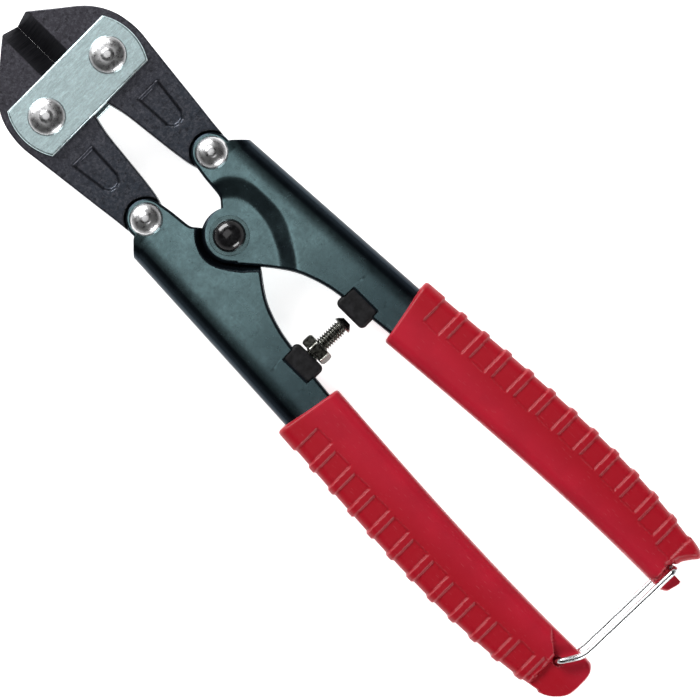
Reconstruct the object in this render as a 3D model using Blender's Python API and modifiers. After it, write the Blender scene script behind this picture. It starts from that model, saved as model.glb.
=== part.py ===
"""Small bolt cutters of the 200 mm class, with their blades shut and their bail latched.

The part lies flat with its nose toward +Y. The tool is symmetric about the plane X = 0, apart from its
drawn-in left handle, its stop screw and its bail. Lengths below are in millimetres and are turned into
metres by MM. Plan positions are measured from the main pivot, and heights from the middle of the tool;
world() places that point, so that the part stands on Z = 0 with its box centred.
"""

import math

import bmesh
import bpy
import numpy as np

MM = 0.001

# Overall sizes
NOSE_REACH = 73.3  # main pivot to the tips of the blades
TAIL_REACH = 137.0  # main pivot to the end of the grips
GAP = 0.3  # air between pieces that touch

# Linkage
JAW_PIN = (11.3, 17.1)  # rivet between handle and jaw, right side
STRAP_PIN = (10.5, 51.4)  # rivet between jaw and straps, right side

# Jaws
JAW_HALF = 5.2  # half the thickness of a jaw
BLADE_GAP = 0.15  # cutting edge to the plane X = 0
BLADE_BACK = 56.0  # rear end of the cutting edge
BEVEL_WIDTH = 4.3  # width of the ground bevel
EDGE_HALF = 0.35  # half the thickness left at the cutting edge
TIP_WIDTH = 4.0
TIP_NOTCH = 0.6  # depth of the notch where the tips meet
CHEEK_WIDTH = 20.1  # widest place of the jaws, beside the straps
POCKET_DEPTH = 0.7
TONGUE_RADIUS = 5.0  # round end of the jaw between the handle's cheeks

# Straps
STRAP_THICK = 2.0
STRAP_DEPTH = 15.5
STRAP_FLAT = 16.3  # half the length of its straight edges
STRAP_REACH = 18.5  # half its length at the middle of the round ends

# Rivets, bushings and washers
STRAP_RIVET = (2.6, 4.65)  # radii of shank and head
STRAP_HEAD_RISE = 1.65
JAW_RIVET = (2.3, 4.1)
PIVOT_RIVET = (2.5, 4.05)
JAW_HEAD_RISE = 2.1
PIVOT_HEAD_RISE = 2.0
BUSHING_WALL = 0.9
WASHER_RADIUS = 4.95
WASHER_THICK = 0.5
SPACER_RADIUS = 5.0

# Handles
SHEET = 1.4  # thickness of the pressed steel
BACK_RADIUS = 4.0  # rounding of the channel's back
HANDLE_END_RADIUS = 5.1  # round front end over the jaw
LOBE_RADIUS = 6.9  # lobe round the main pivot
SHOULDER = (20.2, 12.8)  # front end of the channel's back
RIGHT_DROP = 1.2  # how far the right handle's lobes are pressed in
STEEL_END = TAIL_REACH - 6.0  # the channel ends this far behind the main pivot

# Grips
GRIP_HALF = 8.6  # half the thickness of a grip
GRIP_WALL = 2.1  # rubber beside the steel, in plan
GRIP_FRONT = (41.9, 44.8)  # distance behind the pivot at the outer and the inner corner
GRIP_ROUND = 3.0  # rounding of the long edges
TAIL_START = TAIL_REACH - 7.0  # where the grips begin to round off at their tails
TAIL_DROP = 1.4  # how much thinner they get there on each face
LEFT_TAIL = (7.2, 3.4)  # how far the outer and the inner side draw in at the tail
RIGHT_TAIL = (2.4, 2.6)
NOTCH_PLAY = 0.6  # more room between the bail's bar and the tongue that holds it
NOTCH_DEPTH = 5.0  # the notch runs this far behind the bar, out through the tail

# Bail
WIRE = 1.6  # diameter of the wire
WIRE_PLAY = 1.0  # between the wire and the tails
BAIL_HINGE = (-17.5, 8.1 - TAIL_REACH)
BAIL_BEND = (-12.2, 4.6 - TAIL_REACH)
BAIL_BAR = (18.1, 3.5 - TAIL_REACH)  # the bar behind the right grip's tongue
BAIL_FOOT = 0.9  # how far the wire's feet reach into the steel
BEND_RADIUS = 1.6  # of the wire's middle line

# Stop screw
SCREW_AXIS_Y = -34.7  # where the axis crosses X = 0
SCREW_TILT = 2.0  # degrees toward the tail
SCREW_RADIUS = 1.85  # plain cylinder at the thread's mean size
SCREW_TAIL = -14.0  # along the axis
SCREW_NECK = 3.4
SCREW_TIP = 5.3
SCREW_HEAD = (2.5, 1.2)  # radii of the head at its back and its tip
NUT_FLATS = 7.0
NUT_THICK = 3.2
SCREW_BLOCK_FACE = 6.8  # face of the left block to the plane X = 0
STOP_BLOCK_FACE = 6.3  # face of the right block to the plane X = 0
BLOCK_BACK = 12.4
BLOCK_FRONT_Y = -29.9
BLOCK_REAR_Y = -39.0
BLOCK_HALF = 5.0  # half the thickness of the blocks
BLOCK_CORNER = 0.9

# Facets
ROUND_STEPS = 32
WIRE_RESOLUTION = 3

# Colours: base colour, roughness, metallic
BLACK_OXIDE = ((0.085, 0.080, 0.090), 0.42, 0.9)
BLUED = ((0.120, 0.150, 0.155), 0.35, 0.9)
ZINC = ((0.640, 0.700, 0.690), 0.38, 1.0)
CHROME = ((0.800, 0.800, 0.810), 0.12, 1.0)
BLACK_GLOSS = ((0.030, 0.030, 0.032), 0.18, 0.8)
DARK_ZINC = ((0.160, 0.165, 0.150), 0.40, 1.0)
NICKEL = ((0.780, 0.790, 0.800), 0.16, 1.0)
BLACK_PAINT = ((0.020, 0.020, 0.022), 0.55, 0.2)
RED_GRIP = ((0.520, 0.020, 0.045), 0.38, 0.0)
STEEL = ((0.450, 0.450, 0.460), 0.35, 1.0)

# Values that follow from the sizes above
PIVOT_Y = (TAIL_REACH - NOSE_REACH) / 2
PLATE_TOP = JAW_HALF - RIGHT_DROP
INNER_TOP = PLATE_TOP - SHEET - GAP
LEFT_DROP = JAW_HALF - INNER_TOP
STRAP_LOW = JAW_HALF + GAP
STRAP_TOP = STRAP_LOW + STRAP_THICK
HALF_HEIGHT = STRAP_TOP + GAP + STRAP_HEAD_RISE  # middle of the tool to the surface it lies on
TONGUE_HALF = JAW_HALF - SHEET - GAP
WIRE_LEVEL = HALF_HEIGHT - WIRE / 2
TAIL_HALF = HALF_HEIGHT - WIRE - WIRE_PLAY  # half the thickness of the tails that the bail lies on
EDGE_INSET = GRIP_WALL + GAP
SCREW_SLOPE = math.tan(math.radians(SCREW_TILT))

# Long contours of the right grip, as (distance behind the pivot, distance from the plane X = 0)
GRIP_INNER = ((44.6, 8.2), (70.0, 10.1), (TAIL_START - 30.0, 11.8), (TAIL_START, 12.3))
GRIP_OUTER = ((42.0, 25.7), (66.0, 27.5), (TAIL_START - 34.0, 28.9), (TAIL_START, 26.6))


# ---------------------------------------------------------------- plan geometry


def contour(stations, behind):
    """Distance from the plane X = 0 of the cubic through four stations."""
    reach, width = np.array(stations).T
    return float(np.polyval(np.polyfit(reach, width, 3), behind))


def arc(centre, radius, start, end, count):
    """Points on an arc, angles in degrees from +X."""
    angles = np.radians(np.linspace(start, end, count))
    return [(centre[0] + radius * math.cos(a), centre[1] + radius * math.sin(a)) for a in angles]


def circle(centre, radius):
    """A closed round outline."""
    return arc(centre, radius, 0, 360, ROUND_STEPS + 1)[:-1]


def rectangle(x0, x1, y0, y1):
    """A closed box outline."""
    return [(x0, y0), (x1, y0), (x1, y1), (x0, y1)]


def back_line(behind):
    """Outer face of the right channel: straight in the open, and inset from the grip inside it."""
    covered = GRIP_FRONT[0]
    at_grip = contour(GRIP_OUTER, covered) - EDGE_INSET
    if behind > covered:
        return contour(GRIP_OUTER, behind) - EDGE_INSET
    share = (behind + SHOULDER[1]) / (covered + SHOULDER[1])
    return SHOULDER[0] + share * (at_grip - SHOULDER[0])


# ---------------------------------------------------------------- scene and solids


def clear_scene():
    """Remove every object, and make the collections for the parts and for the cutters."""
    for thing in list(bpy.data.objects):
        bpy.data.objects.remove(thing, do_unlink=True)
    made = []
    for name in ("bolt_cutters", "cutters"):
        group = bpy.data.collections.new(name)
        bpy.context.scene.collection.children.link(group)
        made.append(group)
    return made


PARTS, CUTTERS = clear_scene()


def world(x, y, z):
    """World place of a point given from the main pivot at the middle of the tool."""
    return (x * MM, (y + PIVOT_Y) * MM, (z + HALF_HEIGHT) * MM)


def new_object(name, mesh):
    """An object for a mesh in millimetres, which is scaled to metres. It starts among the cutters."""
    for vertex in mesh.vertices:
        vertex.co *= MM
    thing = bpy.data.objects.new(name, mesh)
    thing.location = world(0, 0, 0)
    thing.hide_render = True
    thing.display_type = "WIRE"
    CUTTERS.objects.link(thing)
    return thing


def mesh_from(name, shape):
    """A mesh data block from a bmesh, with its faces turned outward."""
    bmesh.ops.recalc_face_normals(shape, faces=shape.faces)
    mesh = bpy.data.meshes.new(name)
    shape.to_mesh(mesh)
    shape.free()
    return mesh


def prism_shape(loops, low, high):
    """A bmesh of flat outlines raised from low to high. Loops inside the first one are holes."""
    data = bpy.data.curves.new("outline", "CURVE")
    data.dimensions = "2D"
    data.fill_mode = "BOTH"
    data.extrude = (high - low) / 2
    for loop in loops:
        spline = data.splines.new("POLY")
        spline.points.add(len(loop) - 1)
        for point, (x, y) in zip(spline.points, loop):
            point.co = (x, y, 0, 1)
        spline.use_cyclic_u = True
    flat = bpy.data.objects.new("outline", data)
    flat.location.z = (high + low) / 2
    CUTTERS.objects.link(flat)
    bpy.context.view_layer.update()
    evaluated = flat.evaluated_get(bpy.context.evaluated_depsgraph_get())
    mesh = bpy.data.meshes.new_from_object(evaluated)
    mesh.transform(flat.matrix_world)
    bpy.data.objects.remove(flat, do_unlink=True)
    bpy.data.curves.remove(data)
    shape = bmesh.new()
    shape.from_mesh(mesh)
    bpy.data.meshes.remove(mesh)
    bmesh.ops.remove_doubles(shape, verts=shape.verts, dist=0.01)
    return shape


def prism(name, loops, low, high):
    """An object of flat outlines raised from low to high."""
    return new_object(name, mesh_from(name, prism_shape(loops, low, high)))


def rounded_prism(name, loop, half, radius, side, segments=3):
    """A prism about the middle plane whose rims are rounded on one side of the plane X = 0."""
    shape = prism_shape([loop], -half, half)
    flat_angle = math.radians(0.5)
    bmesh.ops.dissolve_limit(shape, angle_limit=flat_angle, verts=shape.verts, edges=shape.edges)
    rims = []
    for edge in shape.edges:
        level = all(abs(abs(v.co.z) - half) < 0.01 for v in edge.verts)
        same = edge.verts[0].co.z * edge.verts[1].co.z > 0
        if level and same and all(side * v.co.x > 0 for v in edge.verts):
            rims.append(edge)
    bmesh.ops.bevel(shape, geom=rims, offset=radius, segments=segments, profile=0.5, affect="EDGES")
    bmesh.ops.triangulate(shape, faces=[f for f in shape.faces if len(f.verts) > 4])
    return new_object(name, mesh_from(name, shape))


def taper(name, low_loop, high_loop, low, high, beyond=1.25):
    """A solid between two outlines with as many points each, carried on past the upper one."""
    low_points = np.array([(x, y, low) for x, y in low_loop])
    high_points = np.array([(x, y, high) for x, y in high_loop])
    high_points = low_points + beyond * (high_points - low_points)
    shape = bmesh.new()
    bottom = [shape.verts.new(p) for p in low_points]
    top = [shape.verts.new(p) for p in high_points]
    shape.faces.new(bottom)
    shape.faces.new(top)
    for i in range(len(bottom)):
        j = (i + 1) % len(bottom)
        shape.faces.new((bottom[i], bottom[j], top[j], top[i]))
    return new_object(name, mesh_from(name, shape))


def turned(name, profile, closed=False):
    """A turned solid about Z. The profile lists (radius, height) down its outer side."""
    shape = bmesh.new()
    points = [shape.verts.new((radius, 0, height)) for radius, height in profile]
    pairs = list(zip(points, points[1:]))
    if closed:
        pairs.append((points[-1], points[0]))
    for pair in pairs:
        shape.edges.new(pair)
    mesh = bpy.data.meshes.new(name)
    shape.to_mesh(mesh)
    shape.free()
    thing = new_object(name, mesh)
    screw = thing.modifiers.new("turn", "SCREW")
    screw.axis = "Z"
    screw.steps = ROUND_STEPS
    screw.render_steps = ROUND_STEPS
    screw.use_merge_vertices = True
    screw.merge_threshold = 0.00002
    screw.use_smooth_shade = False
    return thing


def ring(name, inner, outer, low, high):
    """A turned ring."""
    return turned(name, [(inner, high), (outer, high), (outer, low), (inner, low)], closed=True)


def dome(radius, base, rise, count=5):
    """Profile of a low dome, from its pole down to its rim."""
    angles = np.linspace(0, math.pi / 2, count)
    return [(radius * math.sin(a), base + rise * math.cos(a)) for a in angles]


def rivet(name, radii, seat, rise):
    """A rivet about Z with a domed head on each end, whose heads start at seat."""
    shank, head = radii
    top = dome(head, seat, rise)
    half = top + [(shank, seat)]
    return turned(name, half + [(radius, -height) for radius, height in reversed(half)])


def boolean(thing, other, operation):
    """Cut, join or intersect with another solid."""
    step = thing.modifiers.new(operation.lower(), "BOOLEAN")
    step.operation = operation
    step.object = other
    step.solver = "EXACT"


def cut(thing, *others):
    """Take other solids away."""
    for other in others:
        boolean(thing, other, "DIFFERENCE")


def drill(thing, centre, radius, reach=12):
    """A round hole along Z, through everything between -reach and reach."""
    cut(thing, prism(thing.name + "_drill", [circle(centre, radius)], -reach, reach))


# ---------------------------------------------------------------- placing


def axis_at(name, x, y, z=0.0):
    """An empty on a joint's axis, given from the main pivot at the middle of the tool."""
    empty = bpy.data.objects.new(name, None)
    empty.empty_display_size = 5 * MM
    empty.location = world(x, y, z)
    PARTS.objects.link(empty)
    empty["place"] = (x, y, z)
    return empty


def material_for(name, look):
    """The material of one part."""
    colour, roughness, metallic = look
    material = bpy.data.materials.new(name)
    material.use_nodes = True
    shader = material.node_tree.nodes["Principled BSDF"]
    shader.inputs["Base Color"].default_value = (*colour, 1.0)
    shader.inputs["Roughness"].default_value = roughness
    shader.inputs["Metallic"].default_value = metallic
    return material


def finish(thing, axis, look, place=None):
    """Make a solid a part that hangs on an axis. Its own place is given from the main pivot."""
    CUTTERS.objects.unlink(thing)
    PARTS.objects.link(thing)
    thing.hide_render = False
    thing.display_type = "TEXTURED"
    thing.parent = axis
    base = np.array(place or (0, 0, 0), float) - np.array(axis["place"])
    thing.location = base * MM
    thing.data.materials.clear()
    thing.data.materials.append(material_for(thing.name, look))
    thing.data.shade_smooth()
    thing.data.set_sharp_from_angle(angle=math.radians(35))
    return thing


def flip(points, side):
    """Points of the right side, or mirrored to the left one."""
    return [(side * x, y) for x, y in points]


# ---------------------------------------------------------------- jaws


def jaw_outline():
    """Plan of the right jaw, from the cutting edge round the tip, the cheek and the tongue."""
    tip_y = NOSE_REACH
    strap_x, strap_y = STRAP_PIN
    pin_x, pin_y = JAW_PIN
    tip = [(BLADE_GAP, tip_y - TIP_NOTCH), (TIP_WIDTH, tip_y)]
    cheek = [
        (strap_x + 4.6, strap_y + 12.7),
        (CHEEK_WIDTH - 2.6, strap_y + 9.6),
        (CHEEK_WIDTH - 1.0, strap_y + 6.2),
        (CHEEK_WIDTH - 0.2, strap_y + 2.6),
        (CHEEK_WIDTH, strap_y - 1.0),
        (CHEEK_WIDTH - 0.5, strap_y - 5.6),
    ]
    arm = [(pin_x + 5.5, pin_y + 5.2)]
    tongue = arc(JAW_PIN, TONGUE_RADIUS, 22, -202, 22)
    inner = [
        (pin_x - 5.7, pin_y + 2.4),
        (pin_x - 6.4, pin_y + 6.9),
        (3.1, strap_y - 11.9),
        (2.2, strap_y - 8.0),
        (1.0, strap_y + 0.6),
        (0.9, BLADE_BACK),
        (BLADE_GAP, BLADE_BACK),
    ]
    return tip + cheek + arm + tongue + inner


def blade_wedge(name, side, up):
    """The wedge that grinds the bevel along the cutting edge on one face."""
    slope = (JAW_HALF - EDGE_HALF) / (BEVEL_WIDTH - BLADE_GAP)
    far = -2.0
    low = JAW_HALF - slope * (BEVEL_WIDTH - far)
    over = 1.5
    ends = (BLADE_BACK - 3.0, NOSE_REACH + 2.0)
    section = [
        (BEVEL_WIDTH + over / slope, JAW_HALF + over),
        (far, JAW_HALF + over),
        (far, low),
    ]
    shape = bmesh.new()
    rows = [[shape.verts.new((side * x, y, up * z)) for x, z in section] for y in ends]
    shape.faces.new(rows[0])
    shape.faces.new(rows[1])
    for i in range(3):
        j = (i + 1) % 3
        shape.faces.new((rows[0][i], rows[0][j], rows[1][j], rows[1][i]))
    return new_object(name, mesh_from(name, shape))


def jaw_pocket():
    """Plan of the shallow pocket in the jaw's arm."""
    x, y = JAW_PIN
    front, rear = y + 21.7, y + 10.5
    corners = [(x - 3.4, front), (x + 3.4, front), (x + 1.9, rear), (x - 2.7, rear)]
    return corners


def make_jaw(name, side, axis):
    """A jaw: blade, cheek, arm and the tongue that the handle's cheeks take."""
    jaw = prism(name, [flip(jaw_outline(), side)], -JAW_HALF, JAW_HALF)
    pin = (side * JAW_PIN[0], JAW_PIN[1])
    step = circle(pin, HANDLE_END_RADIUS + GAP)
    over = JAW_HALF + 1
    for up in (1, -1):
        cut(jaw, blade_wedge(name + "_wedge", side, up))
        low, high = sorted((up * TONGUE_HALF, up * over))
        cut(jaw, prism(name + "_step", [step], low, high))
        low, high = sorted((up * (JAW_HALF - POCKET_DEPTH), up * over))
        cut(jaw, prism(name + "_pocket", [flip(jaw_pocket(), side)], low, high))
    drill(jaw, pin, JAW_RIVET[0] + GAP + BUSHING_WALL + GAP)
    drill(jaw, (side * STRAP_PIN[0], STRAP_PIN[1]), STRAP_RIVET[0] + 2 * GAP)
    return finish(jaw, axis, BLACK_OXIDE)


# ---------------------------------------------------------------- straps


def strap_outline():
    """Plan of a strap: straight front and rear edges with bowed ends."""
    half = STRAP_DEPTH / 2
    bow = STRAP_REACH - STRAP_FLAT
    radius = (half**2 + bow**2) / (2 * bow)
    spread = math.degrees(math.asin(half / radius))
    centre = STRAP_REACH - radius
    right = arc((centre, STRAP_PIN[1]), radius, -spread, spread, 9)
    left = arc((-centre, STRAP_PIN[1]), radius, 180 - spread, 180 + spread, 9)
    return right + left


def make_strap(name, up, axis):
    """A strap plate on one face of the jaws."""
    holes = [circle((side * STRAP_PIN[0], STRAP_PIN[1]), STRAP_RIVET[0] + GAP) for side in (-1, 1)]
    low, high = sorted((up * STRAP_LOW, up * STRAP_TOP))
    strap = prism(name, [strap_outline()] + holes, low, high)
    return finish(strap, axis, ZINC)


# ---------------------------------------------------------------- handles


def handle_outline():
    """Plan of the right handle's sheet, round its front end, down its back and up its inner edge."""
    front = arc(JAW_PIN, HANDLE_END_RADIUS, 180, -8, 20)
    ledge = [(JAW_PIN[0] + 5.9, JAW_PIN[1] - 1.2), SHOULDER]
    wide = SHOULDER[0] + 12  # past the back, whose own rounded slab ends the sheet
    outer = [(wide, SHOULDER[1]), (wide, -STEEL_END)]
    covered = []
    for behind in np.linspace(STEEL_END, GRIP_FRONT[1] + 2, 8):
        covered.append((contour(GRIP_INNER, behind) + EDGE_INSET, -behind))
    mouth = [(8.7, -30.0), (7.9, -26.0), (6.6, -21.5), (4.5, -16.8), (0.0, -10.6)]
    lobe = arc((0, 0), LOBE_RADIUS, 219, 62, 16)
    root = [(4.9, 7.9), (5.2, 9.2), (5.5, 12.0)]
    return front + ledge + outer + covered + mouth + lobe + root


def back_slab(name, side, inset, half, radius):
    """A slab whose outer edge is the channel's back, rounded over, inset from it."""
    ends = (STEEL_END + 8, -30.0)
    line = [(back_line(b) - inset, -b) for b in (-30.0, -SHOULDER[1], 15.0)]
    line += [(back_line(b) - inset, -b) for b in np.linspace(GRIP_FRONT[0], ends[0], 9)]
    far = [(-25.0, -ends[0]), (-25.0, -ends[1])]
    return rounded_prism(name, flip(line + far, side), half, radius, side)


def right_press():
    """Lower and upper outlines of the right handle's pressed-in lobe, up to its sloping band."""
    low = [(-12, 9.6), (4.4, 9.6), (6.9, 6.4), (8.8, 2.4), (8.9, -2.4), (7.0, -8.0), (3.2, -14.0), (-12, -34)]
    high = [(-12, 12.6), (5.4, 12.6), (10.2, 9.9), (13.0, 4.8), (13.2, -4.8), (11.0, -9.3), (6.0, -17.6), (-12, -44)]
    return low, high


def left_press():
    """Lower and upper outlines of the left handle's drawn-in cheek, for the right side."""
    low = [(-12, 9.4), (10.8, 9.4), (12.8, 6.8), (13.4, -8.0), (10.4, -14.4), (5.0, -18.2), (-12, -24)]
    high = [(-12, 12.2), (13.0, 12.2), (16.0, 8.6), (16.6, -10.6), (12.6, -18.6), (6.0, -22.4), (-12, -30)]
    return low, high


def block_window(side):
    """Plan of the notch in the cheeks that takes a block."""
    x0, x1 = sorted((0.0, side * (BLOCK_BACK + GAP)))
    return rectangle(x0, x1, BLOCK_REAR_Y - GAP, BLOCK_FRONT_Y + GAP)


def make_handle(name, side, axis, press, drop):
    """A pressed-steel channel with its cheeks pressed in round the main pivot."""
    handle = back_slab(name, side, 0.0, JAW_HALF, BACK_RADIUS)
    boolean(handle, prism(name + "_plan", [flip(handle_outline(), side)], -8, 8), "INTERSECT")
    hollow = back_slab(name + "_hollow", side, SHEET, JAW_HALF - SHEET, BACK_RADIUS - SHEET)
    low, high = (flip(points, side) for points in press())
    for up in (1, -1):
        floor, rim = JAW_HALF - drop, JAW_HALF
        cut(hollow, taper(name + "_plug", low, high, up * (floor - SHEET), up * (rim - SHEET)))
    cut(handle, hollow)
    for up in (1, -1):
        cut(handle, taper(name + "_press", low, high, up * (JAW_HALF - drop), up * JAW_HALF))
    cut(handle, prism(name + "_window", [block_window(side)], -8, 8))
    drill(handle, (0, 0), PIVOT_RIVET[0] + GAP)
    drill(handle, (side * JAW_PIN[0], JAW_PIN[1]), JAW_RIVET[0] + GAP)
    if side < 0:
        drill(handle, BAIL_HINGE, WIRE / 2 + GAP)
    return finish(handle, axis, BLUED)


# ---------------------------------------------------------------- grips


def section(inner, outer, half, behind, skew):
    """One cross-section of the right grip: a rounded box, its outer side skew ahead of its inner one."""
    middle, reach = (outer + inner) / 2, (outer - inner) / 2
    round_off = min(GRIP_ROUND, 0.8 * reach, 0.8 * half)
    points = []
    for turn, sx, sz in ((0, 1, 1), (90, -1, 1), (180, -1, -1), (270, 1, -1)):
        centre = (middle + sx * (reach - round_off), sz * (half - round_off))
        points += arc(centre, round_off, turn, turn + 90, 4)
    share = [(outer - x) / (outer - inner) for x, z in points]
    return [(x, -behind - skew * s, z) for (x, z), s in zip(points, share)]


def grip_shape(side, corners):
    """A sleeve lofted along its bow. The tail's two corners are ellipses of the given widths."""
    lean = GRIP_FRONT[1] - GRIP_FRONT[0]
    sections = []
    for behind in np.linspace(GRIP_FRONT[0], TAIL_START, 13):
        skew = lean * (TAIL_START - behind) / (TAIL_START - GRIP_FRONT[0])
        inner, outer = contour(GRIP_INNER, behind + skew), contour(GRIP_OUTER, behind)
        sections.append(section(inner, outer, GRIP_HALF, behind, skew))
    for step in np.linspace(0, math.pi / 2, 8)[1:]:
        behind = TAIL_START + (TAIL_REACH - TAIL_START) * math.sin(step)
        drawn = 1 - math.cos(step)
        inner = contour(GRIP_INNER, TAIL_START) + corners[1] * drawn
        outer = contour(GRIP_OUTER, TAIL_START) - corners[0] * drawn
        sections.append(section(inner, outer, GRIP_HALF - TAIL_DROP * drawn, behind, 0.0))
    shape = bmesh.new()
    rings = [[shape.verts.new((side * x, y, z)) for x, y, z in points] for points in sections]
    for first, second in zip(rings, rings[1:]):
        for i in range(len(first)):
            j = (i + 1) % len(first)
            shape.faces.new((first[i], first[j], second[j], second[i]))
    shape.faces.new(rings[0])
    shape.faces.new(rings[-1])
    return shape


def notch():
    """Plan of the notch in the right grip that the bail's bar drops in and leaves through."""
    x, y = BAIL_BAR
    room = WIRE / 2 + GAP
    tongue = x - room - NOTCH_PLAY
    roof = y + room
    lean = [(tongue, roof), (tongue, y), (tongue - NOTCH_DEPTH, y - NOTCH_DEPTH)]
    horn = [(24.4, y - NOTCH_DEPTH), (23.4, y - 2.6), (21.4, y - 0.3), (x + room, roof)]
    return lean + horn


def make_grip(name, side, corners):
    """A moulded sleeve over a channel, thinner at its tail where the bail's wire crosses it."""
    grip = new_object(name, mesh_from(name, grip_shape(side, corners)))
    sleeve = back_slab(name + "_sleeve", side, -GAP, JAW_HALF + GAP, BACK_RADIUS)
    bore = []
    for behind in np.linspace(GRIP_FRONT[0] - 8, STEEL_END + GAP, 10):
        bore.append((contour(GRIP_INNER, behind) + GRIP_WALL, -behind))
    wide = [(40.0, -STEEL_END - GAP), (40.0, 8 - GRIP_FRONT[0])]
    boolean(sleeve, prism(name + "_bore", [flip(bore + wide, side)], -8, 8), "INTERSECT")
    cut(grip, sleeve)
    over = GRIP_HALF + 2
    for up in (1, -1):
        low, high = sorted((up * TAIL_HALF, up * over))
        cut(grip, prism(name + "_seat", [seat_outline(side)], low, high))
    return grip


def seat_outline(side):
    """Plan of the lowered face of a tail, which the bail's wires lie on and swing over."""
    if side < 0:
        x, y = BAIL_HINGE
        return [(-40, y + 1.6), (x - 1.2, y + 1.6), (x + 0.4, y + 1.6), (x + 6.6, y + 9.2),
                (0, y + 9.2), (0, -145), (-40, -145)]
    x, y = BAIL_BAR
    return rectangle(5, x + 1.4, -145, y + 1.7)


# ---------------------------------------------------------------- bail


def rounded_path(corners, radius, count=5):
    """A path through corners, each rounded by an arc of the given radius."""
    points = [np.array(corners[0], float)]
    for before, corner, after in zip(corners, corners[1:], corners[2:]):
        here = np.array(corner, float)
        back = np.array(before, float) - here
        ahead = np.array(after, float) - here
        back /= np.linalg.norm(back)
        ahead /= np.linalg.norm(ahead)
        half = math.acos(np.clip(back @ ahead, -1, 1)) / 2
        reach = radius / math.tan(half)
        middle = (back + ahead) / np.linalg.norm(back + ahead)
        centre = here + middle * radius / math.sin(half)
        start, end = here + back * reach - centre, here + ahead * reach - centre
        turn = math.pi - 2 * half
        for share in np.linspace(0, 1, count):
            a, b = math.sin((1 - share) * turn), math.sin(share * turn)
            points.append(centre + (start * a + end * b) / math.sin(turn))
    points.append(np.array(corners[-1], float))
    return points


def make_bail(name, axis):
    """The wire bail: two feet in the left handle, two wires over the faces and a bar between them."""
    foot = JAW_HALF - BAIL_FOOT
    top = [(*BAIL_HINGE, foot), (*BAIL_HINGE, WIRE_LEVEL), (*BAIL_BEND, WIRE_LEVEL), (*BAIL_BAR, WIRE_LEVEL)]
    corners = top + [(x, y, -z) for x, y, z in reversed(top)]
    points = rounded_path(corners, BEND_RADIUS)
    data = bpy.data.curves.new(name, "CURVE")
    data.dimensions = "3D"
    data.bevel_depth = WIRE / 2 * MM
    data.bevel_resolution = WIRE_RESOLUTION
    data.use_fill_caps = True
    spline = data.splines.new("POLY")
    spline.points.add(len(points) - 1)
    for point, place in zip(spline.points, points):
        point.co = (*(place * MM), 1)
    bail = bpy.data.objects.new(name, data)
    CUTTERS.objects.link(bail)
    bpy.context.view_layer.update()
    mesh = bpy.data.meshes.new_from_object(bail.evaluated_get(bpy.context.evaluated_depsgraph_get()))
    bpy.data.objects.remove(bail, do_unlink=True)
    bpy.data.curves.remove(data)
    shape = bmesh.new()
    shape.from_mesh(mesh)
    bmesh.ops.remove_doubles(shape, verts=shape.verts, dist=0.00001)
    bmesh.ops.scale(shape, vec=(1 / MM, 1 / MM, 1 / MM), verts=shape.verts)
    return finish(new_object(name, mesh_from(name, shape)), axis, NICKEL)


# ---------------------------------------------------------------- stop screw, nut and blocks


def along_screw(thing, distance=0.0):
    """Turn a solid made about Z along the screw's axis, and give the place of its origin."""
    thing.rotation_euler = (0, math.radians(90), -math.radians(SCREW_TILT))
    return screw_point(distance)


def screw_point(distance):
    """A point on the screw's axis, by its distance along it from the plane X = 0."""
    tilt = math.radians(SCREW_TILT)
    return (distance * math.cos(tilt), SCREW_AXIS_Y - distance * math.sin(tilt), 0.0)


def make_screw(name, axis):
    """The stop screw: a shank and a coned head that points at the right handle."""
    back, tip = SCREW_HEAD
    profile = [(0, SCREW_TIP), (tip, SCREW_TIP), (back, SCREW_NECK + 0.3), (back, SCREW_NECK),
               (SCREW_RADIUS, SCREW_NECK), (SCREW_RADIUS, SCREW_TAIL), (0, SCREW_TAIL)]
    screw = turned(name, profile)
    place = along_screw(screw)
    return finish(screw, axis, DARK_ZINC, place)


def make_nut(name, axis):
    """The hexagon nut that locks the screw against its block."""
    seat = SCREW_BLOCK_FACE - GAP - SCREW_SLOPE * NUT_FLATS / 2
    radius = NUT_FLATS / math.sqrt(3)
    start = 12.0
    corners = [(radius * math.cos(math.radians(start + 60 * i)), radius * math.sin(math.radians(start + 60 * i)))
               for i in range(6)]
    nut = prism(name, [corners, circle((0, 0), SCREW_RADIUS + GAP)], -NUT_THICK / 2, NUT_THICK / 2)
    place = along_screw(nut, -seat + NUT_THICK / 2)
    return finish(nut, axis, DARK_ZINC, place)


def make_block(name, side, axis, face):
    """A block in the mouth of a channel. The left one is bored for the screw."""
    c = BLOCK_CORNER
    loop = [(face, BLOCK_FRONT_Y - c), (face + c, BLOCK_FRONT_Y), (BLOCK_BACK, BLOCK_FRONT_Y),
            (BLOCK_BACK, BLOCK_REAR_Y), (face + c, BLOCK_REAR_Y), (face, BLOCK_REAR_Y + c)]
    block = prism(name, [flip(loop, side)], -BLOCK_HALF, BLOCK_HALF)
    if side < 0:
        bore = prism(name + "_bore", [circle((0, 0), SCREW_RADIUS + GAP)], -20, 20)
        bore.location = world(*along_screw(bore, -BLOCK_BACK))
        cut(block, bore)
    return finish(block, axis, BLACK_PAINT)


# ---------------------------------------------------------------- assembly


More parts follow.
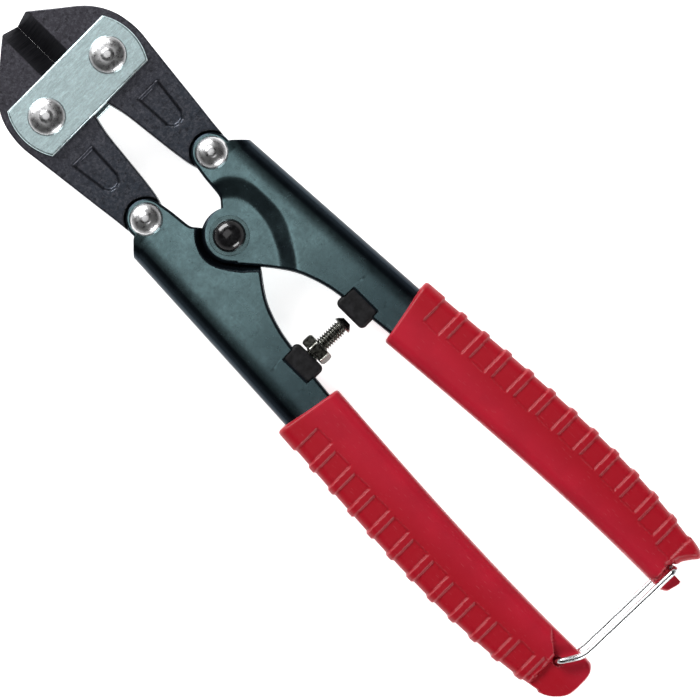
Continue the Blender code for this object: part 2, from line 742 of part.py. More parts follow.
def build():
    """Make every part, each on the axis that it turns or slides about."""
    tool = axis_at("tool_axis", 0, 0)
    right = axis_at("main_pivot_axis", 0, 0)
    left_jaw = axis_at("left_jaw_axis", -JAW_PIN[0], JAW_PIN[1])
    right_jaw = axis_at("right_jaw_axis", JAW_PIN[0], JAW_PIN[1])
    strap = axis_at("strap_axis", -STRAP_PIN[0], STRAP_PIN[1])
    bail = axis_at("bail_axis", *BAIL_HINGE)
    screw = axis_at("screw_axis", *screw_point(0))

    make_handle("left_handle", -1, tool, left_press, LEFT_DROP)
    make_handle("right_handle", 1, right, right_press, RIGHT_DROP)

    pivot_seat = PLATE_TOP + GAP + WASHER_THICK + GAP
    finish(rivet("pivot_rivet", PIVOT_RIVET, pivot_seat, PIVOT_HEAD_RISE), tool, BLACK_GLOSS)
    hole = PIVOT_RIVET[0] + GAP
    for name, up in (("top_pivot_washer", 1), ("bottom_pivot_washer", -1)):
        low, high = sorted((up * (PLATE_TOP + GAP), up * (PLATE_TOP + GAP + WASHER_THICK)))
        finish(ring(name, hole, WASHER_RADIUS, low, high), tool, STEEL)
    spacer = INNER_TOP - SHEET - GAP
    finish(ring("pivot_spacer", hole, SPACER_RADIUS, -spacer, spacer), tool, STEEL)

    for word, side, axis, home in (("left", -1, left_jaw, tool), ("right", 1, right_jaw, right)):
        make_jaw(word + "_jaw", side, axis)
        place = (side * JAW_PIN[0], JAW_PIN[1], 0)
        pin = rivet(word + "_jaw_rivet", JAW_RIVET, JAW_HALF + GAP, JAW_HEAD_RISE)
        finish(pin, home, CHROME, place)
        bore = JAW_RIVET[0] + GAP
        bushing = ring(word + "_jaw_bushing", bore, bore + BUSHING_WALL, -TONGUE_HALF, TONGUE_HALF)
        finish(bushing, home, STEEL, place)
        place = (side * STRAP_PIN[0], STRAP_PIN[1], 0)
        pin = rivet(word + "_strap_rivet", STRAP_RIVET, STRAP_TOP + GAP, STRAP_HEAD_RISE)
        finish(pin, strap, CHROME, place)

    make_strap("top_strap", 1, strap)
    make_strap("bottom_strap", -1, strap)

    grip = make_grip("left_grip", -1, LEFT_TAIL)
    drill(grip, BAIL_HINGE, WIRE / 2 + GAP)
    finish(grip, tool, RED_GRIP)
    grip = make_grip("right_grip", 1, RIGHT_TAIL)
    cut(grip, prism("right_grip_notch", [notch()], -12, 12))
    finish(grip, right, RED_GRIP)

    make_block("screw_block", -1, tool, SCREW_BLOCK_FACE)
    make_block("stop_block", 1, right, STOP_BLOCK_FACE)
    make_screw("stop_screw", screw)
    make_nut("lock_nut", screw)
    make_bail("latch_bail", bail)


build()
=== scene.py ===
"""Small bolt cutters with blued steel handles and ribbed red grips, shown shut and latched.

Shapes are worked out in millimetres from the main pivot, at the middle of the tool's thickness, and
place() takes them to metres in the row frame. Most pieces mirror each other about the plane X = 0, so
they are drawn for the right side, and side = -1 turns them into the left one.
"""

import math

import bmesh
import bpy
import numpy as np
from bpy.props import FloatProperty, FloatVectorProperty, PointerProperty
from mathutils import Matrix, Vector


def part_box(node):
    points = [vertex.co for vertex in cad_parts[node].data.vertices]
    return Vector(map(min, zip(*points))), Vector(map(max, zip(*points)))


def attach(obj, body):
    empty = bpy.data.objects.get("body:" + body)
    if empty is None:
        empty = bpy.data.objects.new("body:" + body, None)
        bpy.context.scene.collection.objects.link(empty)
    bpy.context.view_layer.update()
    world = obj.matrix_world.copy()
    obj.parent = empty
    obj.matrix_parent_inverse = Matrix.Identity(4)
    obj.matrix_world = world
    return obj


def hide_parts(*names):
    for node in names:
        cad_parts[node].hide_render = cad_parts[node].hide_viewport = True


bl_info = {
    "name": "Bolt Cutters",
    "version": (1, 0, 0),
    "blender": (4, 5, 0),
    "location": "View3D > Sidebar > Bolt Cutters",
    "description": "Makes small bolt cutters and their studio around a packed working frame",
    "category": "Add Mesh",
}

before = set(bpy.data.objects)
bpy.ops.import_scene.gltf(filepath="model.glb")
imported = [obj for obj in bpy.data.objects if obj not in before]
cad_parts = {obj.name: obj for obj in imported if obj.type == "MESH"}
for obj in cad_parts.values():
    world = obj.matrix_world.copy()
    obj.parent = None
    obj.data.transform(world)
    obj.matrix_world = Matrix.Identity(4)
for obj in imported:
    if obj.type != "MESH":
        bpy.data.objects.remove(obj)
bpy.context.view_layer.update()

MM = 0.001

# ---------------------------------------------------------------- places from the frame


def corners_of(node):
    """Lowest and highest corner of a CAD node, in metres."""
    low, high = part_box(node)
    return np.array(low), np.array(high)


ORIGIN = np.mean(corners_of("pivot_rivet"), axis=0)


def span(node):
    """Lowest and highest corner of a CAD node, in millimetres from the main pivot."""
    low, high = corners_of(node)
    return (low - ORIGIN) / MM, (high - ORIGIN) / MM


def centre(node):
    """Middle of a CAD node, in millimetres from the main pivot."""
    return np.mean(span(node), axis=0)


def place(points):
    """Points in millimetres from the main pivot, taken to metres in the row frame."""
    return np.asarray(points, float) * MM + ORIGIN


JAW_PIN = centre("right_jaw_rivet")[:2]
STRAP_PIN = centre("right_strap_rivet")[:2]
JAW_HALF = span("right_jaw")[1][2]
NOSE_REACH = span("right_jaw")[1][1]
STRAP_LOW, STRAP_TOP = span("top_strap")[0][2], span("top_strap")[1][2]
HALF_HEIGHT = span("left_strap_rivet")[1][2]
STEEL_END = -span("right_handle")[0][1]
GRIP_HALF = span("right_grip")[1][2]

# ---------------------------------------------------------------- shape constants, in millimetres

TONGUE_HALF = 3.7
TONGUE_RADIUS = 5.0
HANDLE_END_RADIUS = 5.1
TONGUE_REACH = HANDLE_END_RADIUS + 0.45  # the jaw is thin this far round its pin
LOBE_RADIUS = 6.9
BACK_RADIUS = 4.0
EDGE_HALF = 0.35
BLADE_BACK = 56.0
POCKET_DEPTH = 1.0
GRIP_FRONT = (41.9, 44.8)
GRIP_WALL = 2.1
STEEL_INSET = 2.4
BORE_HALF = 5.5
TAIL_LEVEL = 6.85
TAIL_START = 126.0
BAIL_HINGE = (-17.5, -128.9)
BAIL_BEND = (-12.2, -132.4)
BAIL_BAR = (18.1, -133.5)
BAIL_SWEEP = 7.0
SCREW_AXIS_Y = -34.7
SCREW_TILT = math.radians(2.0)

GRIP_INNER = ((44.6, 8.2), (70.0, 10.1), (100.0, 11.8), (130.0, 12.3))
GRIP_OUTER = ((42.0, 25.7), (66.0, 27.5), (96.0, 28.9), (130.0, 26.6))
PANEL_INNER = (18.2, 19.0, 19.6, 20.0, 20.4, 21.0, 21.3, 21.6, 21.3, 21.0, 20.2, 19.0)

# Lobes pressed in round the main pivot: degrees from +X, and the radii where the slope starts and ends
RIGHT_PRESS = (
    (-110, 20.0, 26.0), (-90, 17.0, 22.5), (-75, 13.9, 19.2), (-60, 11.8, 16.6), (-49, 10.6, 15.3),
    (-35, 9.7, 14.5), (-20, 9.1, 13.9), (-6, 8.9, 13.4), (6, 8.9, 13.4), (20, 9.1, 13.9),
    (35, 9.3, 14.1), (48, 9.4, 14.0), (62, 9.4, 13.2), (76, 9.6, 12.6), (92, 9.8, 12.4),
)
LEFT_PRESS = (
    (-110, 20.0, 21.3), (-105, 17.6, 18.9), (-98, 13.4, 14.7), (-90, 10.8, 12.1), (-78, 8.9, 10.2),
    (-66, 8.0, 9.3), (-52, 7.3, 8.5), (-38, 7.05, 8.2), (0, 7.05, 8.2), (62, 7.05, 8.2), (92, 7.05, 8.2),
)

# How far each cheek drops inside its press line, and the rounding of the slope's corners
LEFT_DROP, RIGHT_DROP = (2.9, 0.3), (1.2, 0.22)

# ---------------------------------------------------------------- curves


def curve_through(stations, at):
    """Value at each place of a smooth curve through stations of (place, value).

    Between two stations it is the cubic Hermite, whose slope at a station is the mean of the slopes of
    the chords on its two sides.
    """
    spots, values = np.array(sorted(stations), float).T
    chords = np.diff(values) / np.diff(spots)
    slopes = np.concatenate([chords[:1], (chords[1:] + chords[:-1]) / 2, chords[-1:]])
    i = np.clip(np.searchsorted(spots, at) - 1, 0, len(spots) - 2)
    gap = spots[i + 1] - spots[i]
    s = np.clip((at - spots[i]) / gap, 0, 1)
    near = values[i] * (1 + 2 * s) * (1 - s) ** 2 + slopes[i] * gap * s * (1 - s) ** 2
    far = values[i + 1] * s**2 * (3 - 2 * s) - slopes[i + 1] * gap * s**2 * (1 - s)
    return near + far


def cubic(stations, behind):
    """The cubic polynomial through four stations of (distance behind the pivot, value)."""
    reach, width = np.array(stations).T
    return np.polyval(np.polyfit(reach, width, 3), behind)


def path_through(points, count):
    """Even steps along a smooth curve through points, without the first. Each column is its own curve."""
    step = np.linspace(0, len(points) - 1, count)[1:]
    return np.stack([curve_through(list(enumerate(column)), step) for column in zip(*points)], -1)


def portion(value, low, high):
    """0 at low and 1 at high, straight between, and level beyond them."""
    return np.clip((value - low) / (high - low), 0, 1)


def ramp(value, low, high):
    """0 below low and 1 above high, with a smooth step 3t^2 - 2t^3 between."""
    t = portion(value, low, high)
    return t * t * (3 - 2 * t)


def soft_line(value, soft):
    """0 below 0 and 1 above 1, straight between, with its two corners rounded over soft."""
    grid = np.linspace(-1, 2, 601)
    line = np.clip(grid, 0, 1)
    window = np.hanning(max(3, int(soft * 400) | 1))
    return np.interp(value, grid, np.convolve(np.pad(line, len(window) // 2, "edge"),
                                              window / window.sum(), "valid"))


def inside(corners, x, y):
    """Distance from a point to the nearest side of a convex outline, positive inside it."""
    ring = np.array(corners, float)
    ahead = np.roll(ring, -1, axis=0) - ring
    length = np.hypot(ahead[:, 0], ahead[:, 1])
    turn = np.sign(np.sum(ring[:, 0] * np.roll(ring[:, 1], -1) - np.roll(ring[:, 0], -1) * ring[:, 1]))
    off = [turn * (a[0] * (y - p[1]) - a[1] * (x - p[0])) / n for p, a, n in zip(ring, ahead, length)]
    return np.min(off, axis=0)


def bend(before, here, after, radius, count):
    """Points of the arc that rounds the corner at here, from the leg to before to the leg to after.

    It touches both legs at radius / tan(half the corner's angle) from the corner, and its centre lies on
    the corner's bisector.
    """
    back = (before - here) / np.linalg.norm(before - here)
    ahead = (after - here) / np.linalg.norm(after - here)
    half = math.acos(np.clip(back @ ahead, -1, 1)) / 2
    hub = here + (back + ahead) / np.linalg.norm(back + ahead) * radius / math.sin(half)
    start = here + back * radius / math.tan(half) - hub
    end = here + ahead * radius / math.tan(half) - hub
    turn = math.pi - 2 * half
    share = np.linspace(0, 1, count)[:, None]
    return hub + (start * np.sin((1 - share) * turn) + end * np.sin(share * turn)) / math.sin(turn)


def rounded_corners(corners, radius, count=9):
    """A closed outline through corners of (x, y), each rounded by an arc of the radius."""
    spots = np.array(corners, float)
    legs = zip(np.roll(spots, 1, 0), spots, np.roll(spots, -1, 0))
    return np.concatenate([bend(*leg, radius, count) for leg in legs])


def rounded_path(corners, radii, count=13):
    """A path through corners in space, each rounded by an arc of its own radius."""
    spots = np.array(corners, float)
    legs = zip(spots, spots[1:], spots[2:], radii)
    return np.concatenate([spots[:1], *(bend(*leg, count) for leg in legs), spots[-1:]])


# ---------------------------------------------------------------- meshes


def grid_faces(rows, columns, wrap=True, start=0):
    """Quads between neighbouring points of a grid. wrap joins its last column to its first."""
    r = np.arange(rows - 1)[:, None]
    c = np.arange(columns if wrap else columns - 1)[None, :]
    d = (c + 1) % columns
    quads = (r * columns + c, r * columns + d, (r + 1) * columns + d, (r + 1) * columns + c)
    return np.stack(np.broadcast_arrays(*quads), -1).reshape(-1, 4) + start


def values_of(items, key, width, kind=float):
    """One property of every vertex, edge or face, as an array of rows with width columns."""
    values = np.empty(len(items) * width, kind)
    items.foreach_get(key, values)
    return values.reshape(-1, width)


def mark_wear(mesh):
    """Give each vertex how far it stands out, as the attribute wear.

    It is the mean, over the edges at the vertex, of minus the cosine between its normal and the edge,
    so a flat or hollow place has 0 and a sharp rim about a half.
    """
    count = len(mesh.vertices)
    spots, normals = (values_of(mesh.vertices, key, 3) for key in ("co", "normal"))
    ends = values_of(mesh.edges, "vertices", 2, int)
    both = np.concatenate([ends, ends[:, ::-1]])
    ahead = spots[both[:, 1]] - spots[both[:, 0]]
    ahead /= np.maximum(np.linalg.norm(ahead, axis=1, keepdims=True), 1e-12)
    falls = -np.sum(ahead * normals[both[:, 0]], axis=1)
    total = np.bincount(both[:, 0], falls, count)
    mean = total / np.maximum(np.bincount(both[:, 0], minlength=count), 1)
    layer = mesh.attributes.new("wear", "FLOAT", "POINT")
    layer.data.foreach_set("value", np.clip(mean, 0, 1).astype(np.float32))


MERGE = 0.002 * MM
DEGENERATE = 0.0005 * MM


def add_piece(name, points, faces, look, body, node, caps=(), sharp=50.0):
    """A finished piece that rides on a body in a CAD node's place. look names its finish.

    points are in millimetres from the main pivot. caps are more faces, as lists of point numbers. Doubles
    are merged, which closes poles and seams, and every face is turned outward.
    """
    mesh = bpy.data.meshes.new(name)
    sides = np.asarray(faces).tolist() + [list(map(int, cap)) for cap in caps]
    mesh.from_pydata(place(points).tolist(), [], sides)
    shape = bmesh.new()
    shape.from_mesh(mesh)
    bmesh.ops.remove_doubles(shape, verts=shape.verts, dist=MERGE)
    bmesh.ops.dissolve_degenerate(shape, edges=shape.edges, dist=DEGENERATE)
    bmesh.ops.recalc_face_normals(shape, faces=shape.faces)
    shape.to_mesh(mesh)
    shape.free()
    mesh.shade_smooth()
    mesh.set_sharp_from_angle(angle=math.radians(sharp))
    mark_wear(mesh)
    mesh.materials.append(finish_named(look))
    piece = bpy.data.objects.new(name, mesh)
    bpy.context.scene.collection.objects.link(piece)
    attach(piece, body)
    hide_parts(node)
    return piece


def turned(profile, hub, columns=64):
    """Points and faces of a profile of (radius, height) turned about a vertical line through hub."""
    radius, height = np.array(profile, float).T
    around = np.linspace(0, 2 * np.pi, columns, endpoint=False)
    x = hub[0] + np.outer(radius, np.cos(around))
    y = hub[1] + np.outer(radius, np.sin(around))
    z = np.repeat(height[:, None], columns, 1)
    return np.stack([x, y, z], -1).reshape(-1, 3), grid_faces(len(radius), columns)


DRAWN_IN = 0.8
RIM_SUPPORT = 0.06


def plate(outline, profile):
    """Points, faces and two caps of a profile of (inset, height) carried round a closed outline.

    Each ring is the outline moved inward by the inset along the mean normal of its two sides, divided by
    the cosine of half their turn, so that both sides move in equally far. Each flat end has one more
    ring, drawn in toward the outline's middle, so that the wear of the rim fades out across it.
    """
    ring = np.array(outline, float)
    if np.sum(ring[:, 0] * np.roll(ring[:, 1], -1) - np.roll(ring[:, 0], -1) * ring[:, 1]) < 0:
        ring = ring[::-1]
    ahead = np.roll(ring, -1, 0) - ring
    ahead /= np.linalg.norm(ahead, axis=1, keepdims=True)
    inward = np.stack([-ahead[:, 1], ahead[:, 0]], -1)
    both = inward + np.roll(inward, 1, 0)
    both /= np.sum(both * inward, axis=1, keepdims=True)
    inset, height = np.array(profile, float).T
    flat = ring[None] + inset[:, None, None] * both[None]
    tall = np.broadcast_to(height[:, None, None], flat.shape[:2] + (1,))
    rings = np.concatenate([flat, tall], -1)
    middle = rings[[0, -1]].mean(axis=1, keepdims=True)
    drawn = middle + DRAWN_IN * (rings[[0, -1]] - middle)
    rings = np.concatenate([drawn[:1], rings, drawn[1:]])
    count = len(ring)
    ends = [range(count), range((len(rings) - 1) * count, len(rings) * count)]
    return rings.reshape(-1, 3), grid_faces(len(rings), count), ends


def edge_profile(low, high, radius, steps=5):
    """Insets and heights of a straight wall whose two rims are rounded, from low up to high."""
    a = np.linspace(0, np.pi / 2, steps)
    lower = np.stack([radius * (1 - np.sin(a)), low + radius * (1 - np.cos(a))], -1)
    upper = np.stack([lower[::-1, 0], high + low - lower[::-1, 1]], -1)
    support = radius + RIM_SUPPORT
    return np.concatenate([[[support, low]], lower, upper, [[support, high]]])


def mirrored(points, side):
    """Points of the right side, or mirrored to the left one."""
    return np.asarray(points) * (side, 1, 1)


# ---------------------------------------------------------------- finishes


class Finish:
    """A Principled material as it is built up, with its pattern on Object coordinates."""

    def __init__(self, name, colour, roughness, metallic, **sockets):
        self.base = np.array(colour)
        self.material = bpy.data.materials.new(name)
        self.material.use_nodes = True
        self.tree = self.material.node_tree
        self.shader = self.tree.nodes["Principled BSDF"]
        self.shader.inputs["Base Color"].default_value = (*colour, 1)
        self.shader.inputs["Roughness"].default_value = roughness
        self.shader.inputs["Metallic"].default_value = metallic
        for socket, value in sockets.items():
            self.shader.inputs[socket.replace("_", " ")].default_value = value
        self.coordinates = self.tree.nodes.new("ShaderNodeTexCoord").outputs["Object"]

    def fill(self, socket, value):
        """Link a socket to another one, or set its number or colour."""
        if isinstance(value, bpy.types.NodeSocket):
            self.tree.links.new(value, socket)
        else:
            socket.default_value = value

    def add(self, kind, inputs, **settings):
        """A node with its settings and inputs. Inputs are numbered or named."""
        node = self.tree.nodes.new("ShaderNode" + kind)
        for name, value in settings.items():
            setattr(node, name, value)
        for key, value in inputs.items():
            self.fill(node.inputs[key], value)
        return node

    def grain(self, size, detail=2.0, rough=0.5, stretch=(1, 1, 1)):
        """Even noise with grains of this many millimetres, drawn out along each axis by stretch."""
        spread = [1 / (MM * size * s) for s in stretch]
        spot = self.add("Mapping", {"Vector": self.coordinates, "Scale": spread}).outputs[0]
        inputs = {"Vector": spot, "Scale": 1.0, "Detail": detail, "Roughness": rough}
        return self.add("TexNoise", inputs).outputs["Fac"]

    def cells(self, size):
        """Distance to the nearest of points spread this many millimetres apart."""
        inputs = {"Vector": self.coordinates, "Scale": 1 / (MM * size), "Randomness": 1.0}
        return self.add("TexVoronoi", inputs).outputs["Distance"]

    def between(self, value, low, high, out_low=0.0, out_high=1.0):
        """value from low to high, mapped to out_low to out_high and kept between them."""
        inputs = {"Value": value, "From Min": low, "From Max": high, "To Min": out_low, "To Max": out_high}
        return self.add("MapRange", inputs).outputs["Result"]

    def math(self, operation, a, b=0.5):
        """One sum of two values."""
        return self.add("Math", {0: a, 1: b}, operation=operation).outputs[0]

    def blend(self, share, first, second):
        """A colour between two, by share."""
        node = self.add("Mix", {"Factor": share}, data_type="RGBA")
        for name, value in (("A", first), ("B", second)):
            socket = next(s for s in node.inputs if s.name == name and s.type == "RGBA")
            self.fill(socket, value if isinstance(value, bpy.types.NodeSocket) else (*value, 1))
        return next(s for s in node.outputs if s.type == "RGBA")

    def shade(self, factor):
        """The finish's own colour times a factor, or times one for each channel."""
        return tuple(np.minimum(self.base * factor, 1))

    def laid(self, tone, share, amount, factor):
        """A tone with another shade laid over it, by a share of this amount."""
        return self.blend(self.math("MULTIPLY", share, amount), tone, self.shade(factor))

    def worn(self, low, high):
        """0 on flat places and 1 on rims, by the piece's wear, broken up by a fine grain."""
        wear = self.add("Attribute", {}, attribute_name="wear").outputs["Fac"]
        rough = self.math("MULTIPLY", wear, self.between(self.grain(0.9, 3.0), 0.35, 0.65, 0.5, 1.3))
        return self.between(rough, low, high)

    def slope_shade(self, low, high):
        """Painted shade: 0 on faces that lie flat and 1 where they lean over, between two heights of their
        normal.
        """
        normal = self.add("TexCoord", {}).outputs["Normal"]
        up = self.math("ABSOLUTE", self.add("SeparateXYZ", {0: normal}).outputs[2])
        return self.between(up, low, high, 1.0, 0.0)

    def colour(self, socket):
        """Colour the surface."""
        self.fill(self.shader.inputs["Base Color"], socket)

    def roughness(self, socket):
        """Vary the roughness."""
        self.fill(self.shader.inputs["Roughness"], socket)

    def relief(self, *layers):
        """Bump the surface by layers of (height, depth in millimetres, strength)."""
        normal = None
        for height, depth, strength in layers:
            inputs = {"Height": height, "Distance": depth * MM, "Strength": strength}
            if normal:
                inputs["Normal"] = normal
            normal = self.add("Bump", inputs).outputs[0]
        self.fill(self.shader.inputs["Normal"], normal)


def black_oxide(colours):
    """Forged jaws under black oxide: speckled charcoal, bluer along the arms, with worn rims."""
    f = Finish("black_oxide", colours.oxide, 0.34, 0.85)
    split = f.add("SeparateXYZ", {0: f.coordinates}).outputs[1]
    along = f.between(split, 0.060, 0.084)
    cloud = f.between(f.grain(5.0, 3.0), 0.35, 0.65)
    speck = f.between(f.grain(0.75, 4.0, 0.8), 0.46, 0.66)
    pits = f.between(f.grain(0.9, 3.0, 0.75), 0.32, 0.46, 1.0, 0.0)
    tone = f.blend(along, f.shade((0.74, 0.90, 1.02)), f.shade((1.06, 1.0, 1.06)))
    tone = f.laid(tone, cloud, 0.35, 0.66)
    tone = f.laid(tone, speck, 0.75, 2.2)
    tone = f.laid(tone, pits, 0.75, 0.30)
    f.colour(f.blend(f.worn(0.12, 0.50), tone, (0.20, 0.20, 0.21)))
    f.roughness(f.between(f.grain(1.6, 4.0, 0.6), 0.3, 0.7, 0.28, 0.42))
    f.relief((f.grain(0.25, 3.0), 0.02, 0.5), (f.grain(2.4, 2.0), 0.05, 0.3))
    return f.material


def ground_steel(colours):
    """The ground bevels along the cutting edges: dark, with fine lines across the edge."""
    f = Finish("ground_bevel", colours.oxide, 0.36, 0.85)
    lines = f.grain(0.12, 2.0, 0.5, (40, 1, 40))
    f.colour(f.blend(f.between(lines, 0.3, 0.7), f.shade(0.5), f.shade(1.2)))
    f.roughness(f.between(lines, 0.3, 0.7, 0.3, 0.48))
    f.relief((lines, 0.01, 0.5))
    return f.material


def blued_steel(colours):
    """Pressed steel under a glossy teal-grey coat, darker toward the grips, with painted shade over its
    bends.

    It has pits, fine scratches along the sheet, and faint press lines across it.
    """
    f = Finish("blued_steel", colours.blued, 0.22, 0.9)
    split = f.add("SeparateXYZ", {0: f.coordinates}).outputs[1]
    rear = f.between(split, -0.004, 0.016, 1.0, 0.0)
    cloud = f.between(f.grain(7.0, 3.0), 0.35, 0.65)
    tone = f.blend(cloud, f.shade(0.86), f.shade(1.10))
    tone = f.laid(tone, rear, 0.75, (0.40, 0.42, 0.46))
    mottle = f.between(f.grain(0.9, 4.0, 0.7), 0.38, 0.62)
    tone = f.laid(tone, mottle, 0.34, 0.5)
    pits = f.between(f.cells(1.8), 0.0, 0.15, 1.0, 0.0)
    scratch = f.between(f.grain(0.10, 1.0, 0.5, (1, 60, 1)), 0.66, 0.76)
    faint = f.math("MULTIPLY", scratch, f.between(f.grain(7.0, 2.0), 0.45, 0.65, 0.0, 0.6))
    lines = f.between(f.grain(0.22, 1.0, 0.5, (70, 1, 70)), 0.58, 0.72)
    pressed = f.math("MULTIPLY", lines, f.between(f.grain(6.0, 1.0), 0.48, 0.60, 0.0, 0.45))
    tone = f.laid(tone, pits, 0.7, 0.2)
    tone = f.blend(pressed, tone, f.shade(0.45))
    tone = f.blend(faint, tone, f.shade(1.7))
    # painted shade: faces that lean over are darkened, standing in for the dark reflections on the slopes
    # and backs
    tone = f.laid(tone, f.slope_shade(0.955, 0.995), 0.92, (0.07, 0.06, 0.09))
    f.colour(f.blend(f.math("MULTIPLY", f.worn(0.22, 0.60), 0.55), tone, (0.36, 0.42, 0.43)))
    f.roughness(f.between(f.grain(2.2, 4.0, 0.6), 0.3, 0.7, 0.17, 0.29))
    f.relief((pits, 0.04, -0.6), (f.grain(0.5, 3.0), 0.010, 0.35), (f.grain(6.0, 1.0), 0.05, 0.2))
    return f.material


def zinc_plate(colours):
    """Zinc-plated strap: pale greenish grey with the fine grain of rolled sheet along its length."""
    f = Finish("zinc_plate", colours.zinc, 0.34, 1.0)
    rolled = f.between(f.grain(0.45, 4.0, 0.8, (5, 1, 4)), 0.38, 0.62)
    mottle = f.between(f.grain(1.0, 4.0, 0.75), 0.36, 0.64)
    tone = f.blend(mottle, f.shade(0.80), f.shade(1.16))
    tone = f.laid(tone, rolled, 0.7, 0.60)
    f.colour(f.blend(f.worn(0.12, 0.42), tone, (0.86, 0.90, 0.90)))
    f.roughness(f.between(mottle, 0.0, 1.0, 0.26, 0.40))
    f.relief((rolled, 0.012, 0.55), (f.grain(0.45, 3.0), 0.015, 0.45))
    return f.material


def bright_rivet(colours):
    """Bright plated rivet heads with faint turning marks and a few dents."""
    f = Finish("bright_rivet", colours.chrome, 0.2, 1.0)
    mottle = f.between(f.grain(0.9, 4.0, 0.6), 0.3, 0.7)
    f.colour(f.blend(mottle, f.shade(0.84), f.shade(1.08)))
    f.roughness(f.between(f.grain(0.9, 3.0), 0.3, 0.7, 0.24, 0.34))
    f.relief((f.grain(2.0, 1.0), 0.03, 0.2))
    return f.material


def black_rivet(colours):
    """The main pivot's black head: glossy, with a soft orange-peel surface."""
    f = Finish("black_rivet", colours.gloss_black, 0.16, 0.3, Coat_Weight=0.6, Coat_Roughness=0.08)
    mottle = f.between(f.grain(0.8, 3.0), 0.35, 0.65)
    f.colour(f.blend(mottle, f.shade(0.6), f.shade(1.6)))
    f.roughness(f.between(mottle, 0.0, 1.0, 0.12, 0.26))
    f.relief((f.grain(0.6, 2.0), 0.02, 0.4))
    return f.material


def washer_steel(colours):
    """Plain steel washers, spacer and bushings with turning marks and a film of oil."""
    f = Finish("washer_steel", (0.13, 0.20, 0.21), 0.26, 0.95)
    film = f.between(f.grain(1.8, 3.0), 0.35, 0.65)
    f.colour(f.blend(film, (0.11, 0.17, 0.18), (0.15, 0.23, 0.24)))
    f.roughness(f.between(f.grain(0.3, 3.0), 0.3, 0.7, 0.20, 0.36))
    f.relief((f.grain(0.2, 3.0), 0.008, 0.5))
    return f.material


def dark_zinc(colours):
    """Dark plated screw and nut: olive-grey, with bright crests where the thread has been run."""
    f = Finish("dark_zinc", colours.hardware, 0.3, 1.0)
    cloud = f.between(f.grain(0.8, 4.0, 0.65), 0.35, 0.65)
    tone = f.blend(cloud, f.shade(0.5), f.shade(1.3))
    f.colour(f.blend(f.worn(0.10, 0.30), tone, (0.55, 0.56, 0.52)))
    f.roughness(f.between(cloud, 0.0, 1.0, 0.22, 0.40))
    f.relief((f.grain(0.18, 3.0), 0.012, 0.5))
    return f.material


def bright_wire(colours):
    """Nickel-plated spring wire with fine draw lines and dull spots."""
    f = Finish("bright_wire", colours.nickel, 0.16, 1.0)
    spots = f.between(f.grain(0.8, 4.0, 0.6), 0.35, 0.65)
    f.colour(f.blend(spots, f.shade(0.85), f.shade(1.06)))
    f.roughness(f.between(spots, 0.0, 1.0, 0.22, 0.12))
    f.relief((f.grain(0.12, 2.0, 0.5, (12, 1, 1)), 0.006, 0.5))
    return f.material


def black_block(colours):
    """Stop blocks under dull black paint, with a fine sandy surface."""
    f = Finish("black_block", colours.gloss_black, 0.55, 0.0, Specular_IOR_Level=0.2)
    cloud = f.between(f.grain(1.5, 3.0), 0.35, 0.65)
    tone = f.blend(cloud, f.shade(0.7), f.shade(1.8))
    f.colour(f.blend(f.worn(0.30, 0.9), tone, f.shade(3.0)))
    f.roughness(f.between(f.grain(0.6, 4.0), 0.3, 0.7, 0.48, 0.66))
    f.relief((f.grain(0.3, 3.0), 0.03, 0.6), (f.grain(2.0, 2.0), 0.10, 0.4))
    return f.material


def red_grip(colours):
    """Moulded red vinyl: satin, deeper toward the ribbed outer side, with a fine moulded skin."""
    f = Finish("red_grip", colours.grip, 0.36, 0.0, Specular_IOR_Level=0.28)
    split = f.add("SeparateXYZ", {0: f.coordinates}).outputs[0]
    outward = f.between(f.math("ABSOLUTE", split), 0.0155, 0.0205)
    cloud = f.between(f.grain(8.0, 3.0), 0.35, 0.65)
    tone = f.blend(cloud, f.shade(0.93), f.shade(1.07))
    tone = f.laid(tone, outward, 0.9, (0.84, 0.45, 0.50))
    scuff = f.math("MULTIPLY", f.between(f.grain(0.25, 2.0, 0.5, (1, 9, 1)), 0.66, 0.76), 0.16)
    tone = f.blend(scuff, tone, (0.75, 0.30, 0.32))
    speck = f.between(f.grain(0.22, 2.0, 0.6), 0.40, 0.62)
    tone = f.laid(tone, speck, 0.16, 0.72)
    f.colour(f.blend(f.math("MULTIPLY", f.worn(0.05, 0.30), 0.30), tone, (0.86, 0.26, 0.28)))
    f.roughness(f.between(f.grain(0.9, 4.0, 0.6), 0.3, 0.7, 0.30, 0.46))
    f.relief((f.grain(0.35, 3.0), 0.02, 0.45), (f.grain(3.5, 2.0), 0.06, 0.25))
    return f.material


FINISHES = {}


def finish_named(name):
    """The finish of that name, made on first use."""
    if name not in FINISHES:
        makers = (black_oxide, ground_steel, blued_steel, zinc_plate, bright_rivet, black_rivet,
                  washer_steel, dark_zinc, bright_wire, black_block, red_grip)
        made = {maker.__name__: maker for maker in makers}
        FINISHES[name] = made[name](bpy.context.scene.bolt_cutter_colours)
    return FINISHES[name]

# ---------------------------------------------------------------- jaws


def rim_drop(distance, radius):
    """How far a rounded rim lies below its flat face, by the distance from its contour."""
    in_from_flat = radius - np.clip(distance, 0, radius)
    return radius - np.sqrt(np.maximum(radius**2 - in_from_flat**2, 0))


def across(inner, outer, radius, shares):
    """Plan points on straight rows from inner to outer, and their distances from both ends.

    Over the rounded rim at each end the distances are radius * (1 - cos a) for even steps of a.
    """
    ahead = outer - inner
    length = np.hypot(ahead[:, 0], ahead[:, 1])[:, None]
    reach = np.minimum(radius, 0.4 * length)
    lead = reach * (1 - np.cos(np.linspace(0, np.pi / 2, 5)))[None]
    middle = reach + (length - 2 * reach) * shares[..., 1:-1]
    spots = np.concatenate([lead, middle, length - lead[:, ::-1]], 1)
    plan = inner[:, None] + (spots / np.maximum(length, 1e-6))[..., None] * ahead[:, None]
    return plan, spots, length - spots


